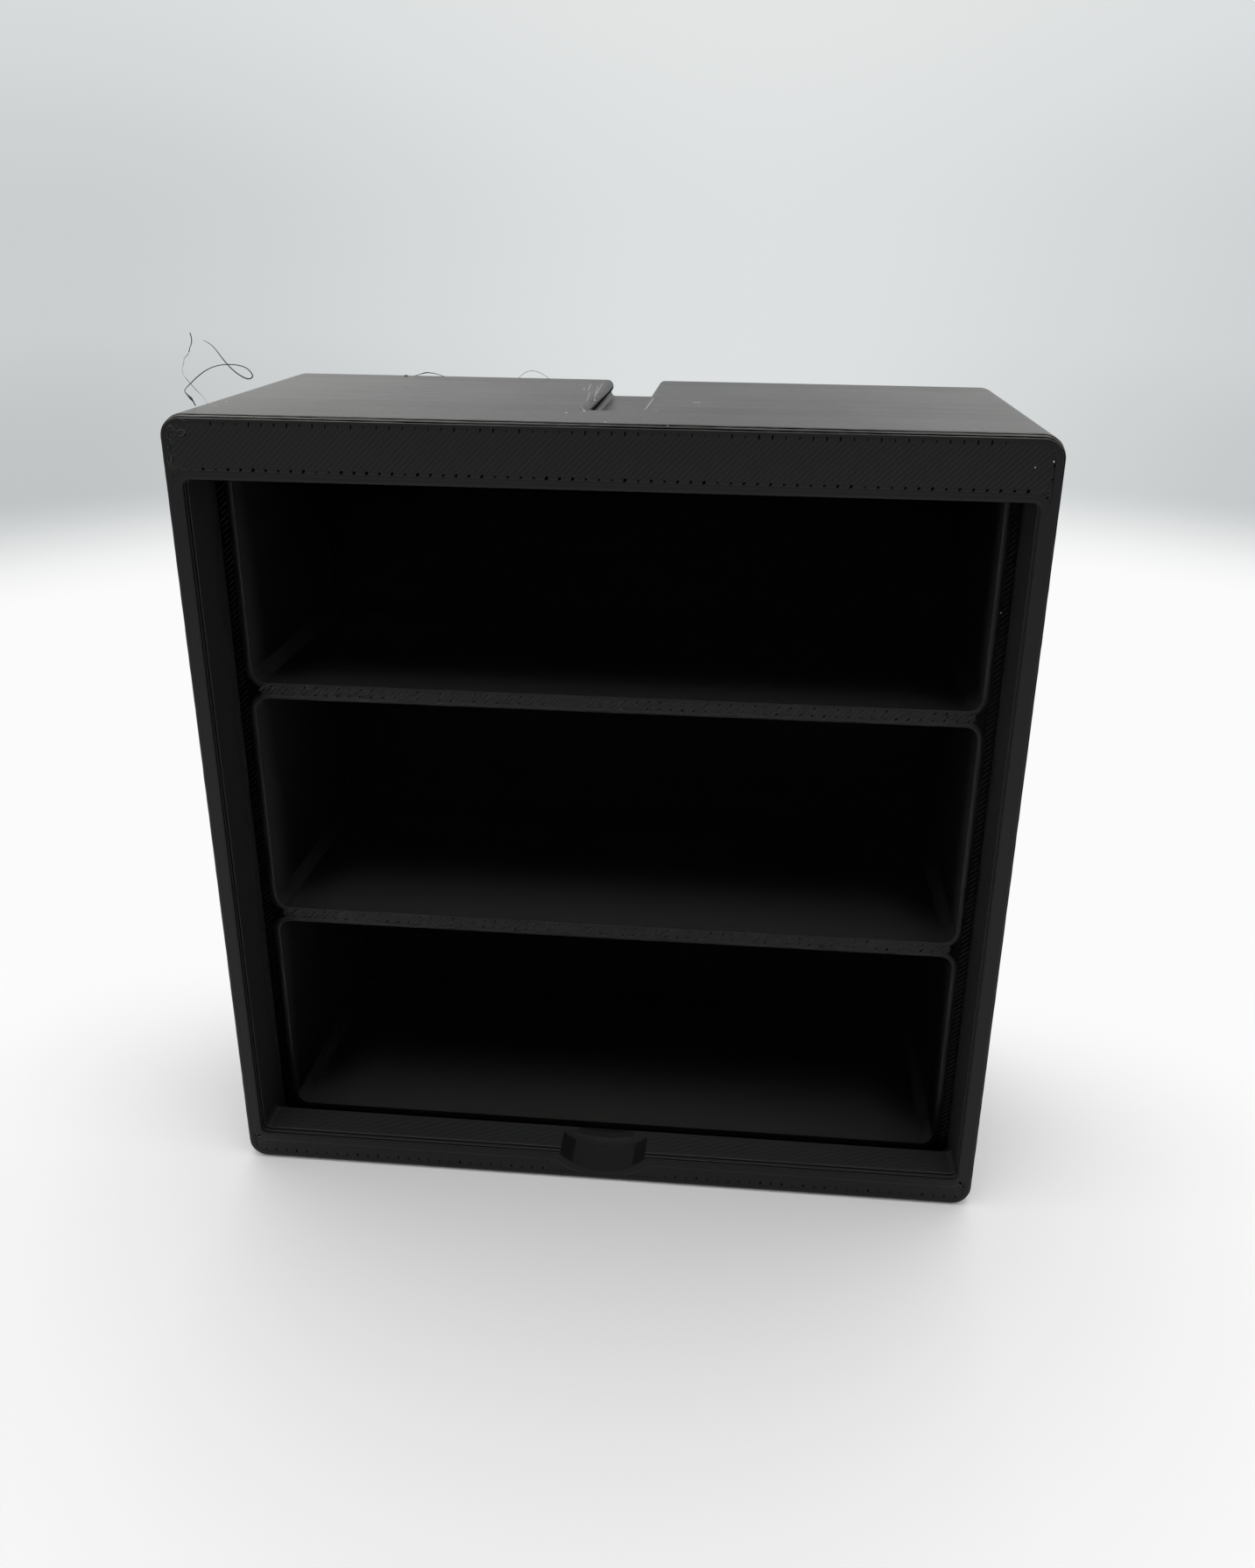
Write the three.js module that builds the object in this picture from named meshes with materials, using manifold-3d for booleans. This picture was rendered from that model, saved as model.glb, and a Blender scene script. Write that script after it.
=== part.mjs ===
// Display case for three small model cars, with a clear lift-out front pane.
// Millimetres, +Z up, front towards -Y, origin at the middle of the underside.

import * as THREE from "three";
import { mergeVertices } from "three/addons/utils/BufferGeometryUtils.js";
import Module from "manifold-3d";

const wasm = await Module();
wasm.setup();

// Bays, one above the other, each for one car side-on
const bayCount = 3;
const bayWidth = 83;
const bayHeight = 27.8;
const bayDepth = 28.8;
const bayCornerRadius = 1.6;

// Walls between and around the bays
const floorThickness = 2.4;
const shelfThickness = 1.9;
const roofThickness = 3.8;
const backThickness = 1.6;
const ledgeWidth = 1.85;
const sideWall = 2;

// Front rim
const outerCornerRadius = 2.4;
const openingCornerRadius = 0.8;
const sillHeight = 3.8;
const sillDepth = 5;
const headHeight = 6.6;

// Clear pane and the groove that holds it
const paneThickness = 2;
const paneCornerRadius = 1;
const paneFaceGap = 0.4;
const paneSideGap = 0.35;
const paneSeatGap = 0.3;
const troughSkin = 1.4;
const headSkin = 1.8;
const sillClearance = 0.2;
const headClearance = 0.2;

// Slot in the roof for a slide-in connector, open at the back
const slotNeckWidth = 5.8;
const slotUndercut = 0.25;
const slotDepth = 2;
const slotLipRadius = 0.8;
const slotFootRadius = 0.5;
const slotSetback = 9.9;
const slotCornerRadius = 1.5;

// Scoop in the sill for a fingertip, with a thin web left behind it
const scoopRadius = 7.5;
const scoopSkin = 1.6;
const scoopWeb = 1;
const webDipRadius = 13;
const webDipDepth = 0.5;

// How far a cutter runs past the face that it opens
const overrun = 1;

// Faces per arc
const cornerSteps = 10;
const lipSteps = 8;
const scoopSides = 96;

// Outer size, from the bays outwards
const shelfCount = bayCount - 1;
const openingWidth = bayWidth + 2 * ledgeWidth;
const grooveWidth = paneThickness + 2 * paneFaceGap;
const ledgeDepth = sillDepth + grooveWidth;
const caseWidth = openingWidth + 2 * sideWall;
const caseHeight = floorThickness + bayCount * bayHeight + shelfCount * shelfThickness + roofThickness;
const caseDepth = ledgeDepth + bayDepth + backThickness;

// Places along the depth
const frontY = -caseDepth / 2;
const backY = caseDepth / 2;
const grooveFrontY = frontY + sillDepth;
const ledgeY = frontY + ledgeDepth;
const bayBackY = backY - backThickness;

// Heights of the opening, the groove and the pane
const openingTop = caseHeight - headHeight;
const grooveTop = caseHeight - headSkin;
const paneBottom = troughSkin + paneSeatGap;
const paneLift = sillHeight + sillClearance - paneBottom;
const paneTop = grooveTop - headClearance - paneLift;
const paneWidth = openingWidth - 2 * paneSideGap;

// Outline of a rectangle with round corners, centred on X, between two heights.
function roundedRectangle(width, bottom, top, radius) {
  const half = width / 2;
  const shape = new THREE.Shape();
  shape.absarc(half - radius, bottom + radius, radius, -Math.PI / 2, 0);
  shape.absarc(half - radius, top - radius, radius, 0, Math.PI / 2);
  shape.absarc(radius - half, top - radius, radius, Math.PI / 2, Math.PI);
  shape.absarc(radius - half, bottom + radius, radius, Math.PI, 1.5 * Math.PI);
  return shape;
}

// Prism of an upright outline, from one place along the depth to another.
function prismAlongDepth(outline, startY, endY, steps) {
  const settings = { depth: endY - startY, bevelEnabled: false, curveSegments: steps };
  const geometry = new THREE.ExtrudeGeometry(outline, settings);
  geometry.rotateX(Math.PI / 2);
  geometry.translate(0, endY, 0);
  return geometry;
}

// Prism of a plan outline, from one height to another.
function prismUpwards(outline, bottom, top, steps) {
  const settings = { depth: top - bottom, bevelEnabled: false, curveSegments: steps };
  const geometry = new THREE.ExtrudeGeometry(outline, settings);
  geometry.translate(0, 0, bottom);
  return geometry;
}

// Round bar along the depth, given by its radius and the height of its lowest line.
function barAlongDepth(radius, lowest, startY, endY) {
  const geometry = new THREE.CylinderGeometry(radius, radius, endY - startY, scoopSides);
  geometry.translate(0, (startY + endY) / 2, lowest + radius);
  return geometry;
}

// Turns a closed geometry into a solid that can be cut and joined.
function toSolid(geometry) {
  const bare = geometry.clone();
  bare.deleteAttribute("normal");
  bare.deleteAttribute("uv");
  const merged = mergeVertices(bare);
  const vertProperties = new Float32Array(merged.attributes.position.array);
  const triVerts = new Uint32Array(merged.index.array);
  return new wasm.Manifold(new wasm.Mesh({ numProp: 3, vertProperties, triVerts }));
}

// Turns a finished solid back into a geometry.
function toGeometry(solid) {
  const mesh = solid.getMesh();
  const geometry = new THREE.BufferGeometry();
  geometry.setAttribute("position", new THREE.BufferAttribute(mesh.vertProperties, 3));
  geometry.setIndex(new THREE.BufferAttribute(mesh.triVerts, 1));
  geometry.computeVertexNormals();
  return geometry;
}

// Block with round upright edges, before anything is cut from it.
function outerBlock() {
  const outline = roundedRectangle(caseWidth, 0, caseHeight, outerCornerRadius);
  return toSolid(prismAlongDepth(outline, frontY, backY, cornerSteps));
}

// Opening in the front rim, through to the groove.
function frontOpening() {
  const outline = roundedRectangle(openingWidth, sillHeight, openingTop, openingCornerRadius);
  return toSolid(prismAlongDepth(outline, frontY - overrun, ledgeY, cornerSteps));
}

// Groove behind the rim: shallow in the sill, deep in the head, so that the pane can be lifted out.
function paneGroove() {
  const outline = roundedRectangle(openingWidth, troughSkin, grooveTop, openingCornerRadius);
  return toSolid(prismAlongDepth(outline, grooveFrontY, ledgeY, cornerSteps));
}

// One bay, counted from the bottom.
function bay(index) {
  const bottom = floorThickness + index * (bayHeight + shelfThickness);
  const outline = roundedRectangle(bayWidth, bottom, bottom + bayHeight, bayCornerRadius);
  return toSolid(prismAlongDepth(outline, ledgeY - grooveWidth / 2, bayBackY, cornerSteps));
}

// Cross-section of the connector slot: round lips, a slight undercut and a round foot.
function slotSection() {
  const neckHalf = slotNeckWidth / 2;
  const footHalf = neckHalf + slotUndercut;
  const lipX = neckHalf + slotLipRadius;
  const lipZ = caseHeight - slotLipRadius;
  const floorZ = caseHeight - slotDepth;
  const footX = footHalf - slotFootRadius;
  const footZ = floorZ + slotFootRadius;
  const undercutAngle = Math.acos(1 - slotUndercut / slotLipRadius);
  const shape = new THREE.Shape();
  shape.moveTo(lipX, caseHeight + overrun);
  shape.lineTo(-lipX, caseHeight + overrun);
  shape.absarc(-lipX, lipZ, slotLipRadius, Math.PI / 2, -undercutAngle, true);
  shape.absarc(-footX, footZ, slotFootRadius, Math.PI, 1.5 * Math.PI);
  shape.absarc(footX, footZ, slotFootRadius, 1.5 * Math.PI, 2 * Math.PI);
  shape.absarc(lipX, lipZ, slotLipRadius, Math.PI + undercutAngle, Math.PI / 2, true);
  shape.closePath();
  return shape;
}

// Plan of the slot: a closed front end with round corners, run out past the back.
function slotPlan() {
  const half = slotNeckWidth / 2 + slotLipRadius;
  const front = frontY + slotSetback;
  const shape = new THREE.Shape();
  shape.moveTo(half, backY + overrun);
  shape.lineTo(-half, backY + overrun);
  shape.absarc(slotCornerRadius - half, front + slotCornerRadius, slotCornerRadius, Math.PI, 1.5 * Math.PI);
  shape.absarc(half - slotCornerRadius, front + slotCornerRadius, slotCornerRadius, 1.5 * Math.PI, 2 * Math.PI);
  shape.closePath();
  return shape;
}

// Slot cutter: the section swept along the depth and ended by the plan.
function connectorSlot() {
  const swept = prismAlongDepth(slotSection(), frontY, backY + 2 * overrun, lipSteps);
  const plan = prismUpwards(slotPlan(), caseHeight - slotDepth - overrun, caseHeight + 2 * overrun, lipSteps);
  return toSolid(swept).intersect(toSolid(plan));
}

// Scoop in the sill, and the shallow dip that it leaves in the web behind it.
function fingerScoop() {
  const webFrontY = grooveFrontY - scoopWeb;
  const scoop = barAlongDepth(scoopRadius, scoopSkin, frontY - overrun, webFrontY);
  const dip = barAlongDepth(webDipRadius, sillHeight - webDipDepth, frontY - overrun, grooveFrontY + overrun);
  const reach = prismUpwards(scoopPlan(), 0, sillHeight + overrun, cornerSteps);
  return toSolid(scoop).add(toSolid(dip)).intersect(toSolid(reach));
}

// Plan of the sill that the scoop may cut, wide enough for the whole scoop.
function scoopPlan() {
  const shape = new THREE.Shape();
  shape.moveTo(scoopRadius, frontY - overrun);
  shape.lineTo(scoopRadius, grooveFrontY + overrun);
  shape.lineTo(-scoopRadius, grooveFrontY + overrun);
  shape.lineTo(-scoopRadius, frontY - overrun);
  shape.closePath();
  return shape;
}

// The whole printed case, in one piece with its shelves.
function caseBody() {
  let solid = outerBlock().subtract(frontOpening()).subtract(paneGroove());
  for (let index = 0; index < bayCount; index += 1) {
    solid = solid.subtract(bay(index));
  }
  solid = solid.subtract(connectorSlot()).subtract(fingerScoop());
  const material = new THREE.MeshStandardMaterial({ color: 0x1b1b1c, roughness: 0.5, metalness: 0 });
  const mesh = new THREE.Mesh(toGeometry(solid), material);
  mesh.name = "case_body";
  return mesh;
}

// Clear sheet standing in the groove, its lower edge just above the trough.
function frontPane() {
  const outline = roundedRectangle(paneWidth, 0, paneTop - paneBottom, paneCornerRadius);
  const geometry = prismAlongDepth(outline, 0, paneThickness, cornerSteps);
  const material = new THREE.MeshStandardMaterial({
    color: 0xf3f7f8, roughness: 0.05, metalness: 0, transparent: true, opacity: 0.15,
  });
  const mesh = new THREE.Mesh(geometry, material);
  mesh.name = "front_pane";
  mesh.position.set(0, grooveFrontY + paneFaceGap, paneBottom);
  return mesh;
}

const displayCase = new THREE.Group();
displayCase.add(caseBody(), frontPane());

export default displayCase;
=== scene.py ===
"""Looks of a printed display case for three small model cars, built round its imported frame.

The case is one print, so its surface is made of what the printer left: rows at forty-five degrees on the
faces that look forward, closed lines round every edge, layers on every wall, small pits where the rows turn
and a few loose threads. Sizes are in millimetres, and MM turns them into Blender's metres.
"""

from __future__ import annotations

import logging
import math
import random
from collections.abc import Callable, Sequence
from dataclasses import dataclass, replace
from enum import Enum

import bmesh
import bpy
from mathutils import Matrix, Vector

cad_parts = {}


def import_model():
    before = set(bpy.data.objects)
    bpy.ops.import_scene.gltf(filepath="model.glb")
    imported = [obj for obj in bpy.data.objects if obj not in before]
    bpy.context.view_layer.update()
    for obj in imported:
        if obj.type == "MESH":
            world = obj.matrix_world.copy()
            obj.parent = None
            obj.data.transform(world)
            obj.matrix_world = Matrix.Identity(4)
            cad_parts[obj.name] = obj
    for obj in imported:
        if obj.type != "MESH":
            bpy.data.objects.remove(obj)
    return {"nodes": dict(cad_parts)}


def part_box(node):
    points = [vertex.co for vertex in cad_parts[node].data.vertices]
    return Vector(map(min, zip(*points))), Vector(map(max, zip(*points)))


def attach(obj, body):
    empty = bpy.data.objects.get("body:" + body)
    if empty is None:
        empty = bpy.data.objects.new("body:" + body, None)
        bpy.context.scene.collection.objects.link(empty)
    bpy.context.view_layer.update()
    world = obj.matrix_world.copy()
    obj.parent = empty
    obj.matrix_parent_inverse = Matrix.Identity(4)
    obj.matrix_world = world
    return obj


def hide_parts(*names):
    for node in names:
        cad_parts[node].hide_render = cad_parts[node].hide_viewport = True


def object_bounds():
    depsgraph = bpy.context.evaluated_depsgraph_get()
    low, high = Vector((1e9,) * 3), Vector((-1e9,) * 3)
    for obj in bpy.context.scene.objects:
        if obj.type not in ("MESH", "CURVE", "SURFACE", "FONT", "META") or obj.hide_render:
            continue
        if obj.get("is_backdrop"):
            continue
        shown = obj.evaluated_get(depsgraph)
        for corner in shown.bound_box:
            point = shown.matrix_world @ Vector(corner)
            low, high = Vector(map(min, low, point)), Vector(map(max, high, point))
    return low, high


LOG = logging.getLogger("display_case")

MM = 0.001
PHOTO_WIDTH = 1433
PHOTO_HEIGHT = 1791
LOFT_SEED = 4
TICK_SEED = 6
SAME_POINT = 1e-7
BAR_SIDES = 120
CORNER_STEPS = 8
OUTER_STEPS = 12
SIDE_STEPS = 110
NOTCH_STEPS = 16
NOSE_STEPS = 4
LIP_STEPS = 12
FOOT_STEPS = 6
# Depths over which the painted light at a bay's mouth and the painted sheen along its lower corners fade out.
LIT_REACH = 18
GLEAM_REACH = 26

Point = tuple[float, float]
Place = tuple[float, float, float]
Colour = tuple[float, float, float, float]
Outline = Callable[[float], list[Point]]


class Cut(Enum):
    """How a second solid changes the first one."""

    TAKE_AWAY = "DIFFERENCE"
    KEEP_SHARED = "INTERSECT"


class RowEnds(Enum):
    """Which ends of the printed rows have pits."""

    LOW = 0
    HIGH = 1


class Tone(Enum):
    """Which finish a thread, a scratch or a fleck has."""

    DARK = 0
    PALE = 1
    GREY = 2


class Look(Enum):
    """Finish of a face of the shell, numbered as its material slots."""

    SHELL = 0
    INSIDE = 1
    RIDGED = 2
    ROOF = 3
    LEDGE = 4
    SILL = 5
    SHADED = 6
    LEDGE_RIGHT = 7


class Mark(Enum):
    """What is written on the shell's faces for its finishes to read."""

    WALL = "wall"
    RELIEF = "relief"
    # LIT and GLEAM carry the shares of painted light and painted sheen in the bays.
    LIT = "lit"
    GLEAM = "gleam"


@dataclass(frozen=True)
class Print:
    """Lines and layers that the printer laid down."""

    line_width: float = 0.465
    shelf_line_width: float = 0.47
    ledge_line_width: float = 0.475
    bead_height: float = 0.06
    row_height: float = 0.078
    sill_row_height: float = 0.028
    shelf_row_height: float = 0.085
    bead_overlap: float = 1.7
    row_overlap: float = 1.32
    second_line: float = 1.6
    bay_line: float = 0.7
    turn: float = 0.09
    pit_depth: float = 0.4
    tick_width: float = 0.13
    tick_height: float = 0.065
    head_rows: Point = (1.15, 5.75)
    sill_rows: Point = (1.35, 2.66)
    shelf_rows: Point = (0.62, 1.5)
    head_row_end: float = 43.91
    sill_row_end: float = 44.0
    scoop_row_end: float = 6.8
    shelf_row_end: float = 40.86
    ledge_start: float = 2.17
    ledge_gaps: Point = (0.65, 0.05)
    first_layers: Point = (0.35, 1.01)
    first_insets: Point = (0.33, 0.14)
    nose_radii: Place = (0.2, 0.13, 0.13)
    wobble: float = 0.025
    groove_half_width: float = 0.06
    groove_depth: float = 0.1
    outer_ridges: float = 0.3
    bay_ridges: float = 0.4
    scoop_ridges: float = 0.15
    score_half_width: float = 0.2
    score_depth: float = 0.3
    shoulder: Place = (1.22, 1.4, 1.9)
    shoulder_height: float = 0.06
    edge_radius: float = 0.1


@dataclass(frozen=True)
class Limits:
    """How far past its nominal place, and how steep, a face still counts to a part of the case."""

    slack: float = 0.1
    wall: float = 0.3
    slot: float = 0.4
    outer_wall: float = 0.4
    outer_edge: float = 0.6
    under_slot: float = 0.7
    roof: float = 1
    sill: float = 1
    ledge: float = 0.2
    right_ledge: float = 0.05
    groove: float = 0.01
    score: float = 0.06
    scoop_share: float = 0.75
    facing: float = 0.5
    corner_slope: float = 0.15
    wall_slope: float = 0.7
    sill_slope: float = 0.3
    roof_slope: float = 0.25
    slot_slope: float = 0.2
    lip_slope: float = 0.1
    sharp_angle: float = 35


@dataclass(frozen=True)
class CaseSizes:
    """Driving sizes of the case, as in the part, with the overall ones read from the frame."""

    width: float
    depth: float
    height: float
    bay_count: int = 3
    bay_width: float = 83
    bay_height: float = 27.8
    bay_corner_radius: float = 1.6
    floor_thickness: float = 2.4
    shelf_thickness: float = 1.9
    back_thickness: float = 1.6
    side_wall: float = 2
    outer_corner_radius: float = 2.4
    opening_corner_radius: float = 0.8
    sill_height: float = 3.8
    sill_depth: float = 5
    head_height: float = 6.6
    groove_width: float = 2.8
    trough_skin: float = 1.4
    head_skin: float = 1.8
    slot_neck_width: float = 5.8
    slot_undercut: float = 0.25
    slot_depth: float = 2
    slot_lip_radius: float = 0.8
    slot_foot_radius: float = 0.5
    slot_setback: float = 9.9
    slot_corner_radius: float = 1.5
    scoop_radius: float = 7.5
    scoop_skin: float = 1.6
    scoop_web: float = 1
    web_dip_radius: float = 13
    web_dip_depth: float = 0.5
    overrun: float = 1

    @property
    def front(self) -> float:
        """Place of the front face along the depth."""
        return -self.depth / 2

    @property
    def opening_width(self) -> float:
        """Width of the opening between the side walls."""
        return self.width - 2 * self.side_wall

    @property
    def opening_top(self) -> float:
        """Height of the head's lower edge."""
        return self.height - self.head_height

    @property
    def ledge_depth(self) -> float:
        """How far the ledge round the bays lies behind the front face."""
        return self.sill_depth + self.groove_width

    @property
    def scoop_centre(self) -> float:
        """Height of the scoop's axis."""
        return self.scoop_skin + self.scoop_radius

    def bay_bottom(self, index: int) -> float:
        """Height of a bay's floor, counted from the lowest bay."""
        return self.floor_thickness + index * (self.bay_height + self.shelf_thickness)


@dataclass(frozen=True)
class Ring:
    """One outline of a loft: its place behind the front face, its growth, and how far its points stray."""

    depth: float
    grown: float
    wobble: float = 0


@dataclass(frozen=True)
class Rows:
    """A rectangle that the printer filled with rows, seen from the front, and how far back it lies."""

    name: str
    left: float
    right: float
    bottom: float
    top: float
    depth: float
    line: float
    height: float = 0

    def inputs(self, front: float) -> dict[str, float]:
        """The rectangle in metres, as the recipes take it.

        Args:
            front: Place of the front face along the depth.

        Returns:
            The inputs by name.
        """
        sides = {"left": self.left, "right": self.right, "bottom": self.bottom, "top": self.top}
        lengths = {**sides, "line_width": self.line, "depth": front + self.depth}
        return {key: length * MM for key, length in lengths.items()}


@dataclass(frozen=True)
class Pinhole:
    """A single hole between the printed lines: its middle, its size and its tilt, seen from the front."""

    x: float
    z: float
    width: float
    length: float
    tilt: float


@dataclass(frozen=True)
class Pits:
    """Pits along one side of a rectangle of rows."""

    ends: RowEnds
    width: float
    length: float
    tilt: float
    margins: Point
    seed: int


PINHOLES = (
    Pinhole(-43.78, 3.38, 0.2, 0.75, 65),
    Pinhole(43.80, 3.45, 0.3, 0.6, -40),
    Pinhole(44.19, 2.97, 0.18, 0.3, 0),
    Pinhole(43.81, 87.36, 0.16, 0.32, 30),
    Pinhole(44.13, 90.50, 0.15, 0.35, 0),
    Pinhole(44.14, 89.16, 0.15, 0.3, 0),
    Pinhole(-42.38, 91.36, 0.15, 0.3, 20),
)
PIN = {"cap_ends": True, "segments": 10, "radius1": 0.5, "radius2": 0.5, "depth": 1}
HEAD_PITS = (
    Pits(RowEnds.HIGH, 0.15, 0.5, -8, (3.9, 3.9), 3),
    Pits(RowEnds.LOW, 0.27, 0.44, -38, (2.6, 1.2), 5),
)
SILL_PITS = (Pits(RowEnds.LOW, 0.25, 0.42, -20, (0.4, 0.4), 6),)
SHELF_PITS = (
    Pits(RowEnds.HIGH, 0.18, 0.38, -20, (0.0, 0.0), 9),
    Pits(RowEnds.LOW, 0.22, 0.34, -35, (0.0, 0.0), 8),
)


def between(start: Point, end: Point, share: float) -> Point:
    """The point at a share of the way from one point to another."""
    return start[0] + (end[0] - start[0]) * share, start[1] + (end[1] - start[1]) * share


def arc(centre: Point, radius: float, start: float, end: float, steps: int) -> list[Point]:
    """Points along an arc, both ends included.

    Args:
        centre: Middle of the circle.
        radius: Its radius.
        start: First angle, in degrees from the right.
        end: Last angle, in degrees.
        steps: Number of stretches.

    Returns:
        The points in order.
    """
    angles = (math.radians(start + (end - start) * step / steps) for step in range(steps + 1))
    return [(centre[0] + radius * math.cos(a), centre[1] + radius * math.sin(a)) for a in angles]


def rectangle(
    width: float, bottom: float, top: float, radius: float, steps: int = CORNER_STEPS, side_steps: int = 1
) -> Outline:
    """Outline of a rectangle with round corners, centred left to right.

    Args:
        width: Full width.
        bottom: Height of the lower edge.
        top: Height of the upper edge.
        radius: Corner radius.
        steps: Stretches in each corner.
        side_steps: Stretches along each straight side.

    Returns:
        The outline, as a function of how far it is grown.
    """

    def outline(grown: float) -> list[Point]:
        """Works out the points of the outline.

        Args:
            grown: How far the rectangle is grown.

        Returns:
            The points, turning left.
        """
        rounding = radius + grown
        side = (width + 2 * grown) / 2 - rounding
        low = bottom - grown + rounding
        high = top + grown - rounding
        centres = ((side, low), (side, high), (-side, high), (-side, low))
        turns = enumerate(centres, start=-1)
        corners = [arc(centre, rounding, 90 * turn, 90 * turn + 90, steps) for turn, centre in turns]
        points = []
        for corner, after in zip(corners, corners[1:] + corners[:1]):
            points += corner
            points += [between(corner[-1], after[0], step / side_steps) for step in range(1, side_steps)]
        return points

    return outline


def circle(radius: float, lowest: float) -> Outline:
    """Outline of a circle in the middle of the case, by its radius and its lowest point."""
    end = 360 - 360 / BAR_SIDES
    return lambda grown: arc((0, lowest + radius), radius + grown, 0, end, BAR_SIDES - 1)


def strayed(outline: Outline, ring: Ring, chance: random.Random) -> list[Point]:
    """Points of an outline, each a little further in or out, as a printed edge is.

    Args:
        outline: Gives the points of the outline, grown by a distance.
        ring: The ring that the points are for.
        chance: Source of the random numbers.

    Returns:
        The points.
    """
    if not ring.wobble:
        return outline(ring.grown)
    near = outline(ring.grown - ring.wobble)
    far = outline(ring.grown + ring.wobble)
    rough = [chance.random() for _ in near]
    shares = [(a + b) / 2 for a, b in zip(rough, rough[1:] + rough[:1])]
    return [between(*step) for step in zip(near, far, shares)]


def round_over(depth: float, radius: float, side: int, steps: int = 3) -> list[Ring]:
    """Rings of a rounded edge at the front of a cavity (side 1) or of a body (side -1)."""
    angles = [math.pi / 2 * step / steps for step in range(steps + 1)]
    return [Ring(depth + radius * (1 - math.cos(a)), side * radius * (1 - math.sin(a))) for a in angles]


def scored_line(depth: float, half_width: float, cut: float) -> list[Ring]:
    """Rings of a thin line that is scored into a wall, with round shoulders."""
    steps = ((-1, 0), (-0.7, 0.15), (-0.5, 1), (0.5, 1), (0.7, 0.15), (1, 0))
    return [Ring(depth + along * half_width, share * cut) for along, share in steps]


def new_object(name: str, shape: bpy.types.ID) -> bpy.types.Object:
    """Makes an object at the origin and links it to the scene.

    Args:
        name: Name of the object.
        shape: Its mesh, curve, light or camera.

    Returns:
        The object.
    """
    made = bpy.data.objects.new(name, shape)
    bpy.context.scene.collection.objects.link(made)
    return made


def to_mesh(name: str, shape: bmesh.types.BMesh) -> bpy.types.Mesh:
    """Turns a bmesh, which is used up, into a mesh.

    Args:
        name: Name of the mesh.
        shape: The bmesh.

    Returns:
        The mesh.
    """
    mesh = bpy.data.meshes.new(name)
    shape.to_mesh(mesh)
    shape.free()
    return mesh


def skin(name: str, outlines: Sequence[Sequence[Place]]) -> bpy.types.Object:
    """Closed solid through a row of outlines.

    Args:
        name: Name of the new object.
        outlines: The outlines in order, each with the same number of points.

    Returns:
        The solid.
    """
    shape = bmesh.new()
    loops = [[shape.verts.new([part * MM for part in place]) for place in outline] for outline in outlines]
    count = len(loops[0])
    for near, far in zip(loops, loops[1:]):
        for index in range(count):
            after = (index + 1) % count
            shape.faces.new((near[index], far[index], far[after], near[after]))
    shape.faces.new(loops[0])
    shape.faces.new(reversed(loops[-1]))
    bmesh.ops.remove_doubles(shape, verts=shape.verts, dist=SAME_POINT)
    bmesh.ops.recalc_face_normals(shape, faces=shape.faces)
    return new_object(name, to_mesh(name, shape))


def evaluated_mesh(source: bpy.types.Object) -> bpy.types.Mesh:
    """Plain mesh of an object with its modifiers applied."""
    graph = bpy.context.evaluated_depsgraph_get()
    return bpy.data.meshes.new_from_object(source.evaluated_get(graph), depsgraph=graph)


def apply_modifier(body: bpy.types.Object, kind: str, **settings: object) -> None:
    """Changes an object's mesh by a modifier, which is gone afterwards.

    Args:
        body: The object.
        kind: Type of the modifier.
        settings: Its properties.
    """
    modifier = body.modifiers.new("change", kind)
    for key, setting in settings.items():
        setattr(modifier, key, setting)
    mesh = evaluated_mesh(body)
    body.modifiers.remove(modifier)
    body.data = mesh


def carve(body: bpy.types.Object, cutter: bpy.types.Object, cut: Cut = Cut.TAKE_AWAY) -> None:
    """Cuts a body with another solid, which is used up."""
    apply_modifier(body, "BOOLEAN", operation=cut.value, solver="MANIFOLD", object=cutter)
    bpy.data.objects.remove(cutter)


def label(key: str) -> str:
    """Name of a socket, from the name of an argument."""
    return key.replace("_", " ").title()


class Signal:
    """A value that runs through a node tree, ready for sums."""

    def __init__(self, wiring: Wiring, socket: bpy.types.NodeSocket) -> None:
        """Keeps the socket, and the nodes that it belongs to."""
        self.wiring = wiring
        self.socket = socket

    def math(self, operation: str, *others: Value) -> Signal:
        """Result of a sum that starts with this value."""
        return self.wiring.math(operation, self, *others)

    def scaled(self, factor: Value, shift: Value) -> Signal:
        """This value times a factor, with another value added."""
        return self.math("MULTIPLY_ADD", factor, shift)

    def __add__(self, other: Value) -> Signal:
        """This value and another one together."""
        return self.math("ADD", other)

    def __sub__(self, other: Value) -> Signal:
        """This value less another one."""
        return self.math("SUBTRACT", other)

    def __rsub__(self, other: float) -> Signal:
        """A number less this value."""
        return self.wiring.math("SUBTRACT", other, self)

    def __mul__(self, other: Value) -> Signal:
        """This value times another one."""
        return self.math("MULTIPLY", other)

    def __truediv__(self, other: Value) -> Signal:
        """This value divided by another one."""
        return self.math("DIVIDE", other)

    def __rtruediv__(self, other: float) -> Signal:
        """A number divided by this value."""
        return self.wiring.math("DIVIDE", other, self)

    def __mod__(self, other: float) -> Signal:
        """What a division leaves."""
        return self.math("MODULO", other)

    def __pow__(self, other: Value) -> Signal:
        """This value to a power."""
        return self.math("POWER", other)

    def __abs__(self) -> Signal:
        """This value without its sign."""
        return self.math("ABSOLUTE")


Value = Signal | float | int | tuple | bpy.types.Material


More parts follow.
